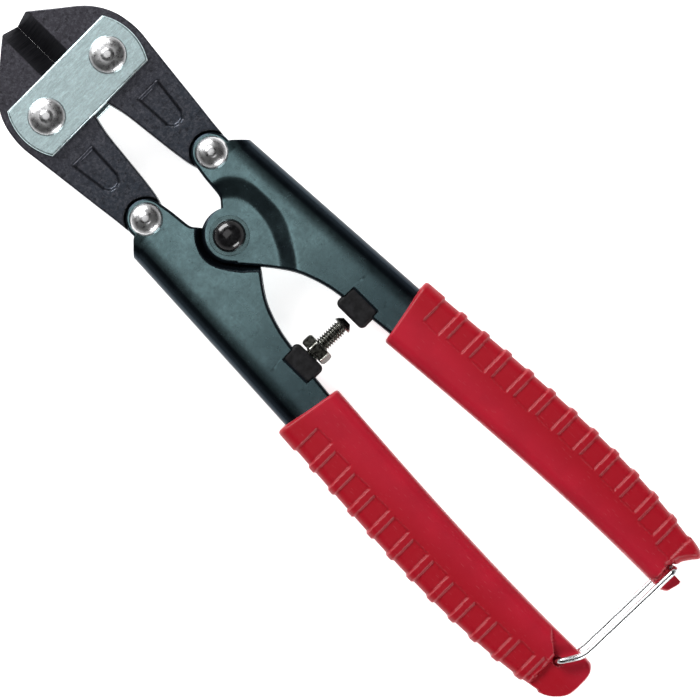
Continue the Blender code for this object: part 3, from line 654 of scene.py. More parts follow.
def polar(hub, radius, degrees):
    """Points round hub, at a radius and angles from +X."""
    turn = np.radians(degrees)
    return np.stack([hub[0] + radius * np.cos(turn), hub[1] + radius * np.sin(turn)], -1)


JAW_INNER = ((17.1, 6.3), (19.5, 5.6), (24.0, 4.9), (32.0, 4.0), (39.5, 3.1), (43.4, 2.2),
             (48.0, 1.4), (52.0, 1.0), (56.0, 0.9))
JAW_OUTER = ((17.1, 16.3), (22.3, 16.8), (28.0, 17.5), (34.0, 18.2), (40.0, 18.9), (45.8, 19.6),
             (50.4, 20.1), (54.0, 19.9), (57.6, 19.1), (61.0, 17.5), (64.1, 15.1), (68.7, 9.6),
             (73.3, 4.0))
BLADE_GAP = 0.005
TIP_NOTCH = 0.6
BEVEL_RUNOUT = 3.0
LEVEL_NORMAL = 0.95
POCKET = ((-3.4, 21.7), (3.4, 21.7), (2.2, 12.3), (1.0, 10.8), (-0.4, 10.5), (-1.8, 10.8), (-2.9, 12.3))
POCKET_WALL = (-0.15, 0.55)
TONGUE_STEP = 0.35


def jaw_rows():
    """Ends of the rows across the right jaw, from its tip back, and then over its round tongue."""
    share = np.linspace(0, 1, 210)
    pin_y = JAW_PIN[1]
    inner_y = NOSE_REACH - TIP_NOTCH - share * (NOSE_REACH - TIP_NOTCH - pin_y)
    outer_y = NOSE_REACH - share * (NOSE_REACH - pin_y)
    inner_x = np.where(inner_y > BLADE_BACK, BLADE_GAP, curve_through(JAW_INNER, inner_y))
    inner = np.stack([inner_x, inner_y], -1)
    outer = np.stack([curve_through(JAW_OUTER, outer_y), outer_y], -1)
    turn = np.linspace(0, 90, 22)[1:]
    return (
        np.concatenate([inner, polar(JAW_PIN, TONGUE_RADIUS, 180 + turn)]),
        np.concatenate([outer, polar(JAW_PIN, TONGUE_RADIUS, -turn)]),
    )


def jaw_height(x, y, bevel):
    """Half the jaw's thickness: its flat, less the ground bevel, the pocket and the thinner tongue."""
    slope = (JAW_HALF - EDGE_HALF) / (bevel - BLADE_GAP)
    ground = EDGE_HALF + slope * np.maximum(x - BLADE_GAP, 0)
    high = np.where(y > BLADE_BACK - BEVEL_RUNOUT, np.minimum(JAW_HALF, ground), JAW_HALF)
    high = high - POCKET_DEPTH * ramp(inside(np.array(POCKET) + JAW_PIN, x, y), *POCKET_WALL)
    to_pin = np.hypot(x - JAW_PIN[0], y - JAW_PIN[1])
    return high - (JAW_HALF - TONGUE_HALF) * ramp(TONGUE_REACH - to_pin, 0, TONGUE_STEP)


BEVEL_COLUMNS, ARM_COLUMNS = 30, 60


def make_jaw(name, side, sizes):
    """A jaw: rows across its plan, closed over both faces.

    Its height is jaw_height less the rounding of its rims. Each row puts a point on the upper edge of
    the ground bevel.
    """
    inner, outer = jaw_rows()
    bevel = sizes.bevel_width / MM
    width = np.maximum(outer[:, 0] - inner[:, 0], 1e-6)
    split = np.clip((bevel - inner[:, 0]) / width, 0.2, 0.8)[:, None]
    ground = np.linspace(0, 1, BEVEL_COLUMNS)[None] * split
    rest = split + (1 - split) * np.linspace(0, 1, ARM_COLUMNS)[None, 1:]
    plan, near, far = across(inner, outer, sizes.rim / MM, np.concatenate([ground, rest], 1))
    x, y = plan[..., 0], plan[..., 1]
    pin_x, pin_y = JAW_PIN
    tongue = np.where(y < pin_y, TONGUE_RADIUS - np.hypot(x - pin_x, y - pin_y), TONGUE_RADIUS)
    blade = (y > BLADE_BACK) & (x < bevel)
    edge = np.where(blade, far, np.minimum(near, far))
    rim = rim_drop(np.minimum(edge, tongue), sizes.rim / MM)
    z = np.maximum(jaw_height(x, y, bevel) - rim, EDGE_HALF)
    top, bottom = np.stack([x, y, z], -1), np.stack([x, y, -z], -1)
    rings = np.concatenate([top, bottom[:, ::-1]], 1)
    rows, columns = rings.shape[:2]
    points, node = mirrored(rings.reshape(-1, 3), side), name.replace("_shape", "")
    jaw = add_piece(name, points, grid_faces(rows, columns), "black_oxide", node, node,
                    caps=[range(columns)])
    paint_bevel(jaw, bevel)


def paint_bevel(jaw, bevel):
    """Give the jaw's ground faces their own finish: those in the blade that lie inside the bevel."""
    jaw.data.materials.append(finish_named("ground_steel"))
    sides = jaw.data.polygons
    x, y, _ = ((values_of(sides, "center", 3) - ORIGIN) / MM).T
    tilted = np.abs(values_of(sides, "normal", 3)[:, 2]) < LEVEL_NORMAL
    ground = (y > BLADE_BACK - BEVEL_RUNOUT) & (np.abs(x) < bevel) & tilted
    sides.foreach_set("material_index", ground.astype(np.int32))


# ---------------------------------------------------------------- straps and rivets


STRAP_BOW = 2.2
STRAP_SEAT = 0.06
STRAP_SHANK, JAW_SHANK, PIVOT_SHANK = 2.6, 2.3, 2.5
HEAD_INSET, HEAD_LIP, HEAD_EDGE = 0.12, 0.3, 0.1
NUB, NO_NUB = (1.25, 0.16), (0.8, 0.0)
NUB_SLOPE = 0.35
WASHER_BORE = 2.6
WASHER_BELOW, WASHER_ABOVE = 0.3, 0.2  # how far a washer's ring lies under its node's two faces
RING_CHAMFER = 0.08


def make_strap(name, node, up, sizes):
    """A strap plate: straight long edges and bowed ends, with all its rims rounded."""
    low, high = span(node)
    half, reach = (high[1] - low[1]) / 2, high[0]
    radius = (half**2 + STRAP_BOW**2) / (2 * STRAP_BOW)
    spread = math.degrees(math.asin(half / radius))
    turn = np.linspace(-spread, spread, 25)
    right = polar((reach - radius, STRAP_PIN[1]), radius, turn)
    left = polar((radius - reach, STRAP_PIN[1]), radius, turn + 180)
    profile = edge_profile(JAW_HALF + STRAP_SEAT, STRAP_TOP, sizes.strap_edge / MM, 6)
    points, faces, caps = plate(np.concatenate([right, left]), profile)
    return add_piece(name, points * (1, 1, up), faces, "zinc_plate", "straps", node, caps)


def domed(head, seat, top, nub):
    """Profile of a domed rivet head from its pole down: a small raised nub, the dome and its rim."""
    nub_radius, nub_rise = nub
    angle = np.linspace(0, np.pi / 2, 28)
    radius = (head - HEAD_INSET) * np.sin(angle)
    height = seat + HEAD_LIP + (top - nub_rise - seat - HEAD_LIP) * np.cos(angle)
    height = height + nub_rise * ramp(nub_radius - radius, -NUB_SLOPE, NUB_SLOPE)
    rim = [(head, seat + HEAD_LIP * 0.75), (head, seat + HEAD_EDGE), (head - HEAD_EDGE, seat)]
    return np.concatenate([np.stack([radius, height], -1), rim])


def make_rivet(name, node, body, look, shank, seat, nub):
    """A rivet turned about its own axis: the profile of its head, its shank and the same head below."""
    low, high = span(node)
    head = (high[0] - low[0]) / 2
    half = np.concatenate([domed(head, seat, high[2], nub), [(shank, seat)]])
    profile = np.concatenate([half, half[::-1] * (1, -1)])
    points, faces = turned(profile, centre(node)[:2], 72)
    return add_piece(name, points, faces, look, body, node, sharp=60)


def make_ring(name, node, body, inner, low, high, outer):
    """A flat ring turned about the main pivot, with a small chamfer on its rims."""
    rim, c = outer - RING_CHAMFER, RING_CHAMFER
    profile = [(inner, low), (rim, low), (outer, low + c), (outer, high - c), (rim, high),
               (inner, high), (inner, low)]
    points, faces = turned(profile, (0, 0), 96)
    return add_piece(name, points, faces, "washer_steel", body, node, sharp=30)


# ---------------------------------------------------------------- handles

SHOULDER = (20.2, 12.8)
SHOULDER_REAR, SHOULDER_FRONT = 12.0, 16.4
SHOULDER_SHIFT = 0.35  # the back starts this much farther out at the front of the shoulder
CROWN_FULL = 13.9
SKEW, SKEW_REAR = 3.59, 5.0  # the rows lean back by this much, fading out toward the rear
CAP_SWEEP = 98.0
CLEAR_OF_RIMS = 9.0
LOBE_FAR = -1.3
# Contours of a cheek in front of the notch and round the mouth: x, y, and where each row meets the back
ROOT = ((6.2, 17.1, 16.39), (5.72, 14.2, 14.0), (5.5, 12.0, 12.0), (5.2, 9.2, 9.2), (4.7, 7.75, 7.6),
        (3.24, 6.09, 5.4))
MOUTH = ((-5.36, -4.34, -6.5), (0.0, -10.6, -11.8), (4.5, -16.8, -17.2), (6.6, -21.5, -21.6),
         (7.9, -26.0, -26.0), (8.6, -30.1, -30.1))
WINDOW = ((11.8, -30.2), (11.8, -38.7))  # the cheek's edge beside a block
BEHIND_WINDOW = ((9.85, -38.8), (10.7, -46.8))
COVERED = 50.0  # distance behind the pivot where the grip sets the contour
EDGE_ROLL = 0.75
ROLLED_MORE = 0.5
CROWN = 0.42
CROWN_REACH = 4.4
CROWN_LEAN = math.atan(2 * CROWN / CROWN_REACH)
CAP_ROWS = 27


def back_line(behind):
    """Outer face of the right channel: straight in the open, and inset from the grip inside it."""
    at_grip = cubic(GRIP_OUTER, GRIP_FRONT[0]) - STEEL_INSET
    share = (behind + SHOULDER[1]) / (GRIP_FRONT[0] + SHOULDER[1])
    bare = SHOULDER[0] + share * (at_grip - SHOULDER[0])
    return np.where(behind > GRIP_FRONT[0], cubic(GRIP_OUTER, behind) - STEEL_INSET, bare)


def handle_rows():
    """Ends of the rows across a cheek of the right handle: its inner contour, and where its back starts.

    The rows are chords over the round front end, cross the root, fan out from the notch in front of the
    lobe, go round the lobe and the mouth, step back round the stop block, and follow the channel.
    """
    turn = np.linspace(0, 1, CAP_ROWS)
    cap_inner = polar(JAW_PIN, HANDLE_END_RADIUS, 90 + 90 * turn)
    cap_outer = polar(JAW_PIN, HANDLE_END_RADIUS, 90 - CAP_SWEEP * turn)
    root, mouth = path_through(ROOT, 46), path_through(MOUTH, 90)
    notch_far = np.linspace(ROOT[-1][2], LOBE_FAR, 22)[1:]
    notch = np.tile([ROOT[-1][:2]], (len(notch_far), 1))
    lobe = polar((0, 0), LOBE_RADIUS, np.linspace(62, 219, 60)[1:])
    lobe_far = np.linspace(LOBE_FAR, MOUTH[0][2], 60)[1:]
    window, rear = np.linspace(*WINDOW, 14), np.linspace(*BEHIND_WINDOW, 14)
    reach = np.linspace(COVERED, STEEL_END, 14)
    covered = np.stack([cubic(GRIP_INNER, reach) + STEEL_INSET, -reach], -1)
    inner = [cap_inner, root[:, :2], notch, lobe, mouth[:, :2], window, rear, covered]
    far = [root[:, 2], notch_far, lobe_far, mouth[:, 2], window[:, 1], rear[:, 1], -reach]
    inner, far = np.concatenate(inner), np.concatenate(far)
    shift = SHOULDER_SHIFT * portion(far, SHOULDER_REAR, SHOULDER_FRONT)
    start = back_line(-far) - BACK_RADIUS + shift
    return inner, np.concatenate([cap_outer, np.stack([start, far], -1)])


def press_height(x, y, stations, drop, soft):
    """Height of a cheek: full outside the sloping band round the pivot, and drop lower inside it.

    The band's two edges are radii given by the angle round the pivot. The slope between them is
    straight, and soft is how far its two corners are rounded over.
    """
    angle = np.degrees(np.arctan2(y, x))
    low = curve_through([(a, r) for a, r, _ in stations], angle)
    high = curve_through([(a, r) for a, _, r in stations], angle)
    share = (np.hypot(x, y) - low) / (high - low)
    return JAW_HALF - drop * (1 - soft_line(share, soft))


def make_handle(name, side, stations, drop, soft, sizes):
    """A pressed channel: one closed ring of points for each row.

    The ring goes out over the upper cheek, round the back, in under the lower cheek, and the same way
    back inside at the sheet's thickness. In front of the shoulder there is no back, so the two cheeks are
    closed by their own edges, and one face closes the front end of the back. Toward the back a cheek
    falls by the crown times the square of the way, and the back's arc starts at the slope there.
    """
    inner, outer = handle_rows()
    sheet = sizes.sheet / MM
    on_lobe = np.hypot(inner[:, 0], inner[:, 1]) < LOBE_RADIUS + 0.2
    rolled = on_lobe * ramp(-inner[:, 0], -3.0, 1.5)
    rim = (EDGE_ROLL + ROLLED_MORE * rolled)[:, None]
    cap = np.arange(len(inner)) < CAP_ROWS
    crowned = np.where(cap, 0.0, portion(outer[:, 1], SHOULDER_FRONT, CROWN_FULL))
    crown, lean = CROWN * crowned[:, None], CROWN_LEAN * crowned[:, None]
    edge_y = outer[:, 1] - SKEW * portion(outer[:, 1], SKEW_REAR, SHOULDER_FRONT)
    edge = np.stack([back_line(-edge_y), edge_y], -1)
    pin_x, pin_y = JAW_PIN

    def cheek(count):
        plan, near, far = across(inner, outer, rim, np.linspace(0, 1, count)[None])
        x, y = plan[..., 0], plan[..., 1]
        to_pin = np.hypot(x - pin_x, y - pin_y)
        front = np.where(y > pin_y, HANDLE_END_RADIUS - to_pin, CLEAR_OF_RIMS)
        far = np.where(cap[:, None], far, CLEAR_OF_RIMS)
        lower = rim_drop(np.minimum(np.minimum(near, far), front), rim)
        share = portion(x, outer[:, :1] - CROWN_REACH, outer[:, :1])
        return x, y, press_height(x, y, stations, drop, soft) - crown * share**2, lower

    def back(radius, steps, inset):
        angle = lean + (np.pi / 2 - lean) * np.linspace(0, 1, steps)[None, 1:]
        turn = (np.sin(angle) - np.sin(lean)) / (1 - np.sin(lean))
        reach = (edge - outer) * (1 - inset / BACK_RADIUS)
        plan = outer[:, None] + turn[..., None] * reach[:, None]
        tall = JAW_HALF - BACK_RADIUS + (radius - crown) * np.cos(angle) / np.cos(lean)
        return plan[..., 0], plan[..., 1], tall

    def stacked(x, y, z, backward=False):
        points = np.stack([x, y, z], -1)
        return points[:, ::-1] if backward else points

    x, y, high, lower = cheek(72)
    bx, by, bz = back(BACK_RADIUS, 11, 0.0)
    ix, iy, ihigh, _ = cheek(22)
    cx, cy, cz = back(BACK_RADIUS - sheet, 6, sheet)
    within = ihigh - sheet
    parts = [
        stacked(x, y, high - lower), stacked(bx, by, bz), stacked(bx, by, -bz, True),
        stacked(x, y, lower - high, True), stacked(ix, iy, -within), stacked(cx, cy, -cz),
        stacked(cx, cy, cz, True), stacked(ix, iy, within, True),
    ]
    ends = np.cumsum([part.shape[1] for part in parts])
    rings = np.concatenate(parts, 1)
    rows, columns = rings.shape[:2]
    faces = grid_faces(rows, columns).reshape(rows - 1, columns, 4)
    keep = np.ones((rows - 1, columns), bool)
    outer_back, inner_back = slice(ends[0] - 1, ends[2]), slice(ends[4] - 1, ends[6])
    keep[: CAP_ROWS - 1, outer_back] = False
    keep[: CAP_ROWS - 1, inner_back] = False
    r = np.arange(CAP_ROWS - 1)[:, None] * columns
    seams = [(ends[0] - 1, ends[6]), (ends[2], ends[4] - 1)]
    closing = [np.concatenate([r + a, r + b, r + columns + b, r + columns + a], 1) for a, b in seams]
    shoulder = (CAP_ROWS - 1) * columns
    wall = np.concatenate([np.arange(ends[0] - 1, ends[2] + 1), np.arange(ends[4] - 1, ends[6] + 1)])
    caps = [shoulder + wall, (rows - 1) * columns + np.arange(columns)]
    points = mirrored(rings.reshape(-1, 3), side)
    return add_piece(name + "_shape", points, np.concatenate([faces[keep], *closing]),
                     "blued_steel", name, name, caps)


# ---------------------------------------------------------------- grips

LEFT_TAIL = (
    (12.0, -134.9), (12.6, -135.6), (13.6, -136.4), (15.1, -136.9), (17.5, -137.0), (20.1, -136.9),
    (22.1, -136.3), (24.1, -134.6), (25.5, -132.8), (26.3, -131.0), (26.9, -129.6),
)
RIGHT_TAIL = (
    (12.0, -134.3), (12.4, -135.0), (13.0, -135.9), (14.5, -136.4), (16.0, -136.8), (16.8, -136.7),
    (17.1, -136.0), (17.2, -133.0), (17.35, -132.5), (18.1, -132.4), (18.9, -132.45), (19.2, -132.9),
    (20.8, -133.6), (22.8, -135.0), (24.0, -136.0), (24.6, -136.2), (25.3, -135.6), (26.0, -134.2),
    (26.6, -131.4),
)
BORE_MORE = 0.3  # the bore ends this far behind the steel
GRIP_RIM = 0.8
GRIP_CORNER, BORE_CORNER = 3.0, 3.9
TAIL_TAPER = 5.0  # the sides of a tail go on along their curves over this length
TAIL_ROUNDING = 2.6
FIRST_RIB, PANELS_FRONT, PANELS_REAR = 53.1, 47.5, 131.0  # distances behind the main pivot
RIB_SLOPE = (-0.2, 0.35)
PANEL_SLOPE = 0.35
SEAT_SLOPE = (-0.15, 0.3)
RIGHT_SEAT = (19.5, -131.8)
LEFT_SEAT = ((10.9, 17.1), (-119.7, -127.3))
HINGE_DIMPLE = 1.3
DIMPLE_SLOPE = 0.35


def section_columns():
    """One turn round a rounded box: share of the width and of the height of each point's centre, and
    the outward normal there. It goes over the top, down the outer side and back along the bottom."""
    flat, wall = np.linspace(0, 1, 66), np.linspace(1, -1, 7)[1:-1]
    turn = np.linspace(np.pi / 2, 0, 10)[1:]
    quarter = np.stack([np.ones(9), np.ones(9), np.cos(turn), np.sin(turn)], -1)
    top = np.stack([flat, np.ones(66), np.zeros(66), np.ones(66)], -1)
    side = np.stack([np.ones(5), wall, np.ones(5), np.zeros(5)], -1)
    upper = np.concatenate([top, quarter])
    lower = upper[::-1] * (1, -1, 1, -1)
    inner_turn = quarter[::-1] * (0, -1, -1, -1)
    inner_side = side[::-1] * (0, 1, -1, 1)
    start = quarter * (0, 1, -1, 1)
    return np.concatenate([upper, side, lower, inner_turn[::-1], inner_side, start[::-1]])


def panels(x, y, sizes):
    """1 in the sunken panels between the ribs of the right grip, and 0 outside them.

    The ribs repeat along the grip, and each panel starts at its own distance from the plane X = 0.
    """
    pitch, width = sizes.rib_pitch / MM, sizes.rib_width / MM
    phase = (-y - FIRST_RIB) / pitch
    along = (phase - np.floor(phase)) * pitch
    open_part = ramp(np.minimum(along - width, pitch - along), *RIB_SLOPE)
    ends = ramp(np.minimum(-y - PANELS_FRONT, y + PANELS_REAR), *RIB_SLOPE)
    number = np.clip(np.floor(phase).astype(int) + 1, 0, len(PANEL_INNER) - 1)
    return open_part * ends * ramp(x - np.array(PANEL_INNER)[number], -PANEL_SLOPE, PANEL_SLOPE)


def seat(x, y, side):
    """1 where a tail is lowered for the bail's wires, and 0 outside."""
    if side > 0:
        return ramp(np.minimum(RIGHT_SEAT[1] - y, RIGHT_SEAT[0] - x), *SEAT_SLOPE)
    return ramp(np.interp(x, *LEFT_SEAT) - y, *SEAT_SLOPE)


def grip_rows(side):
    """The rings of the right grip as arrays: the bore, its front rim, the sleeve and the tail.

    Each is a rounded box from inner to outer side, with its half thickness and corner radius. Along the
    tail, rows go from straight across to the contour of its end, and their height falls as a quarter
    circle to the end and then to the middle plane.
    """
    share, level, nx, nz = section_columns().T[:, None, :]
    lean = GRIP_FRONT[1] - GRIP_FRONT[0]

    def ring(behind, inset, half, radius):
        behind = np.asarray(behind, float)[:, None]
        skew = lean * portion(behind, TAIL_START, GRIP_FRONT[0])
        inner = cubic(GRIP_INNER, behind + skew) + inset
        outer = cubic(GRIP_OUTER, behind) - inset
        x = inner + radius + share * (outer - inner - 2 * radius) + radius * nx
        z = level * (half - radius) + radius * nz
        y = -(behind + skew * (outer - x) / (outer - inner))
        return np.stack(np.broadcast_arrays(x, y, z), -1)

    bore = ring(np.linspace(STEEL_END + BORE_MORE, GRIP_FRONT[0], 8), GRIP_WALL, BORE_HALF, BORE_CORNER)
    turn = np.linspace(0, np.pi / 2, 7)[:-1, None]
    inset = GRIP_RIM * (1 - np.sin(turn))
    behind = (GRIP_FRONT[0] + GRIP_RIM * (1 - np.cos(turn)))[:, 0]
    front = ring(behind, inset, GRIP_HALF - inset, GRIP_CORNER - inset)
    sleeve = ring(np.linspace(GRIP_FRONT[0] + GRIP_RIM, TAIL_START, 340), 0.0, GRIP_HALF, GRIP_CORNER)
    t = np.concatenate([np.linspace(0, 0.7, 18)[1:], 1 - 0.3 * np.cos(np.linspace(0, np.pi / 2, 22))[1:]])
    tail = ring(TAIL_START + TAIL_TAPER * t, 0.0, GRIP_HALF, GRIP_CORNER)
    x = tail[..., 0]
    end = curve_through(LEFT_TAIL if side < 0 else RIGHT_TAIL, x)
    tail[..., 1] = -TAIL_START + (end + TAIL_START) * t[:, None]
    left_over = (1 - t[:, None]) * -(end + TAIL_START)
    tail[..., 2] *= 1 - rim_drop(left_over, TAIL_ROUNDING) / GRIP_HALF
    closing = np.linspace(1, 0, 6)[1:, None]
    shut = np.repeat(tail[-1:], 5, 0)
    shut[..., 2] *= closing
    normal = np.stack([nx[0], 0 * nx[0], nz[0]], -1)
    return bore, np.concatenate([front, sleeve, tail, shut]), normal


def make_grip(name, side, sizes):
    """A moulded sleeve: rings of grip_rows, sunk along their normals in the panels between the ribs.

    Both faces are lowered where the bail's wires lie, and dimpled at its hinge.
    """
    bore, skin, normal = grip_rows(side)
    x, y = skin[..., 0], skin[..., 1]
    skin = skin - (sizes.rib_depth / MM * panels(x, y, sizes))[..., None] * normal
    ceiling = GRIP_HALF - (GRIP_HALF - TAIL_LEVEL) * seat(x, y, side)
    if side < 0:
        to_hinge = np.hypot(x + BAIL_HINGE[0], y - BAIL_HINGE[1])
        ceiling = ceiling - HINGE_DIMPLE * ramp(HINGE_DIMPLE - to_hinge, 0, DIMPLE_SLOPE)
    skin[..., 2] = np.clip(skin[..., 2], -ceiling, ceiling)
    rings = np.concatenate([bore, skin])
    rows, columns = rings.shape[:2]
    points = mirrored(rings.reshape(-1, 3), side)
    body = name.replace("grip", "handle")
    return add_piece(name + "_shape", points, grid_faces(rows, columns), "red_grip", body,
                     name, caps=[range(columns)], sharp=60)


# ---------------------------------------------------------------- stop screw, nut, blocks and bail

AXIS = np.array([math.cos(SCREW_TILT), -math.sin(SCREW_TILT), 0])
ACROSS = np.array([math.sin(SCREW_TILT), math.cos(SCREW_TILT), 0])
SCREW_TIP, SHANK_BACK, SHANK_FRONT = -14.0, -13.8, 3.4
TIP_RADIUS, SHANK_RADIUS = 1.3, 1.45
# Distance along the screw and radius of its conical head, which meets the stop block
SCREW_HEAD = ((3.45, 1.5), (3.5, 2.35), (3.62, 2.5), (4.2, 2.2), (5.05, 1.35), (5.28, 1.1), (5.3, 0.0))
THREAD_ENDS = ((-13.9, 0.7), (3.3, 0.5))  # where the thread's two ends are, and how far each fades
NUT_HALF, NUT_BORE, NUT_TURN = 1.6, 1.75, 12.0
BLOCK_MORE, BLOCK_CORNER, BLOCK_RIM = 0.1, 1.3, 1.0
BAIL_FOOT = 0.9  # how far below the height of the jaws' faces the bail's ends stand


def about_screw(along, radius, around):
    """Points round the stop screw's axis, by the distance along it, the radius and the angle."""
    side = (radius * np.cos(around))[..., None] * ACROSS
    up = (radius * np.sin(around))[..., None] * np.array([0, 0, 1])
    return np.array([0, SCREW_AXIS_Y, 0]) + along[..., None] * AXIS + side + up


def make_screw(name, node, sizes):
    """The stop screw. The radius of its shank is the core plus the thread's depth times a flat-topped
    triangle wave of (distance / pitch + angle / turn), and its head is a short cone."""
    pitch, depth = sizes.thread_pitch / MM, sizes.thread_depth / MM
    head_along, head_radius = np.array(SCREW_HEAD).T
    shank = np.arange(SHANK_BACK, SHANK_FRONT, pitch / 12)
    along = np.concatenate([[SCREW_TIP, SCREW_TIP], shank, head_along])
    plain = np.concatenate([[0.0, TIP_RADIUS], np.full(len(shank), SHANK_RADIUS), head_radius])
    around = np.linspace(0, 2 * np.pi, 40, endpoint=False)[None]
    phase = along[:, None] / pitch + around / (2 * np.pi)
    wave = np.clip(np.abs((phase - np.floor(phase)) * 2 - 1) * 1.5 - 0.2, 0, 1)
    threaded = np.concatenate([[0, 0], np.ones(len(shank)), np.zeros(len(SCREW_HEAD))])
    (back, back_fade), (front, front_fade) = THREAD_ENDS
    fade = ramp(front - along, 0, front_fade) * ramp(along - back, 0, back_fade)
    radius = plain[:, None] + depth * wave * (threaded * fade)[:, None]
    points = about_screw(np.broadcast_to(along[:, None], radius.shape), radius,
                         np.broadcast_to(around, radius.shape))
    return add_piece(name, points.reshape(-1, 3), grid_faces(*radius.shape),
                     "dark_zinc", "stop_screw", node)


def make_nut(name, node, sizes):
    """The lock nut: its radius is the smaller of a hexagon and of a cone that chamfers both faces."""
    flat = sizes.nut_flats / MM / 2
    middle = (centre(node) - (0, SCREW_AXIS_Y, 0)) @ AXIS
    end = np.array([(NUT_HALF, NUT_BORE), (NUT_HALF, flat - 0.15), (NUT_HALF - 0.12, flat + 0.08),
                    (NUT_HALF - 0.35, flat + 0.36), (0.6, 2 * flat)])
    along, cone = np.concatenate([end * (-1, 1), end[::-1]]).T
    around = np.linspace(0, 2 * np.pi, 96, endpoint=False)[None]
    sector = np.radians(60)
    turn = np.mod(around - np.radians(NUT_TURN), sector) - sector / 2
    hexagon = flat / np.cos(turn)
    radius = np.minimum(cone[:, None], hexagon)
    spots = np.broadcast_to(along[:, None] + middle, radius.shape)
    points = about_screw(spots, radius, np.broadcast_to(around, radius.shape)).reshape(-1, 3)
    faces = grid_faces(*radius.shape)
    last = (len(along) - 1) * radius.shape[1]
    c = np.arange(radius.shape[1])
    d = (c + 1) % radius.shape[1]
    bore = np.stack([c, d, last + d, last + c], -1)
    return add_piece(name, points, np.concatenate([faces, bore]), "dark_zinc", "lock_nut",
                     node, sharp=28)


def make_block(name, node, body):
    """A stop block: a box with rounded corners in plan and rounded rims."""
    low, high = span(node)
    low, high = low - (0, BLOCK_MORE, 0), high + (0, BLOCK_MORE, 0)
    corners = [low[:2], (high[0], low[1]), high[:2], (low[0], high[1])]
    outline = rounded_corners(corners, BLOCK_CORNER)
    points, faces, caps = plate(outline, edge_profile(low[2], high[2], BLOCK_RIM, 8))
    return add_piece(name, points, faces, "black_block", body, node, caps)


def make_bail(name, node, sizes):
    """The wire bail: a circle carried along its path, square to the path's own direction.

    Its feet stand in the left handle. It lies over the faces of both tails, and its bar crosses behind
    the right grip's tongue.
    """
    wire = sizes.wire / MM
    level = HALF_HEIGHT - wire / 2
    foot = JAW_HALF - BAIL_FOOT
    top = [(*BAIL_HINGE, foot), (*BAIL_HINGE, level), (*BAIL_BEND, level), (*BAIL_BAR, level)]
    radii = (wire, BAIL_SWEEP, wire, wire, BAIL_SWEEP, wire)
    path = rounded_path(top + [(x, y, -z) for x, y, z in reversed(top)], radii)
    ahead = np.gradient(path, axis=0)
    ahead /= np.linalg.norm(ahead, axis=1, keepdims=True)
    first = np.cross(ahead, (0.2, 1.0, 0.0))
    first /= np.linalg.norm(first, axis=1, keepdims=True)
    second = np.cross(ahead, first)
    around = np.linspace(0, 2 * np.pi, 24, endpoint=False)[None, :, None]
    rings = path[:, None] + wire / 2 * (np.cos(around) * first[:, None] + np.sin(around) * second[:, None])
    rows, columns = rings.shape[:2]
    ends = [range(columns), range((rows - 1) * columns, rows * columns)]
    return add_piece(name, rings.reshape(-1, 3), grid_faces(rows, columns), "bright_wire",
                     "bail", node, ends)


# ---------------------------------------------------------------- settings


def length(name, description, default):
    """A length property whose default is given in millimetres."""
    return FloatProperty(name=name, description=description, default=default * MM, min=0.0,
                         subtype="DISTANCE", unit="LENGTH")


def colour(name, description, default):
    """A colour property."""
    return FloatVectorProperty(name=name, description=description, default=default, size=3,
                               min=0.0, max=1.0, subtype="COLOR")


def power(name, description, default):
    """The power of a light."""
    return FloatProperty(name=name, description=description, default=default, min=0.0, unit="POWER")


class BoltCutterSizes(bpy.types.PropertyGroup):
    """Sizes of the details that the pieces are finished with."""

    rim: length("Rim", "Rounding of the rims of the jaws and handles", 0.4)
    bevel_width: length("Ground bevel", "Width of the bevel along each cutting edge", 4.4)
    strap_edge: length("Strap edge", "Rounding of the straps' rims", 0.5)
    sheet: length("Sheet", "Thickness of the handles' pressed steel", 1.4)
    rib_pitch: length("Rib pitch", "Distance from rib to rib along a grip", 7.08)
    rib_width: length("Rib width", "Width of a rib on a grip", 1.9)
    rib_depth: length("Panel depth", "How far the panels between the ribs are sunk", 0.5)
    thread_pitch: length("Thread pitch", "Pitch of the stop screw's thread", 0.7)
    thread_depth: length("Thread depth", "Depth of the stop screw's thread", 0.5)
    nut_flats: length("Nut", "Width of the lock nut across its flats", 7.0)
    wire: length("Wire", "Diameter of the bail's wire", 1.6)


class BoltCutterColours(bpy.types.PropertyGroup):
    """Colours of the finishes."""

    oxide: colour("Black oxide", "Jaws", (0.055, 0.055, 0.064))
    blued: colour("Blued steel", "Handles", (0.165, 0.265, 0.282))
    zinc: colour("Zinc", "Straps", (0.62, 0.78, 0.80))
    chrome: colour("Bright plating", "Rivets of the jaws and straps", (0.80, 0.80, 0.81))
    gloss_black: colour("Black", "Pivot head and stop blocks", (0.010, 0.010, 0.011))
    hardware: colour("Dark zinc", "Stop screw and lock nut", (0.12, 0.12, 0.105))
    nickel: colour("Nickel", "Bail", (0.70, 0.71, 0.72))
    grip: colour("Grip", "Sleeves of the handles", (0.50, 0.012, 0.031))


class BoltCutterStudio(bpy.types.PropertyGroup):
    """Floor, light and camera."""

    floor: colour("Floor", "Colour of the floor", (0.93, 0.93, 0.93))
    key_power: power("Key light", "Power of the large light in front of the nose", 8.5)
    fill_power: power("Fill light", "Power of the light behind the grips", 3.6)
    top_power: power("Top light", "Power of the light overhead", 2.1)
    surround: FloatProperty(name="Surround", description="Brightness of the room near the floor",
                            default=0.45, min=0.0)
    glow: FloatProperty(name="Floor glow", description="Light that the floor gives off itself",
                        default=0.80, min=0.0)
    camera_height: FloatProperty(name="Camera height", description="Camera above the tool's middle plane",
                                 default=0.80, min=0.1, subtype="DISTANCE", unit="LENGTH")
    camera_lens: FloatProperty(name="Lens", description="Focal length of the camera, in millimetres",
                               default=168.7, min=1.0)


# ---------------------------------------------------------------- operators


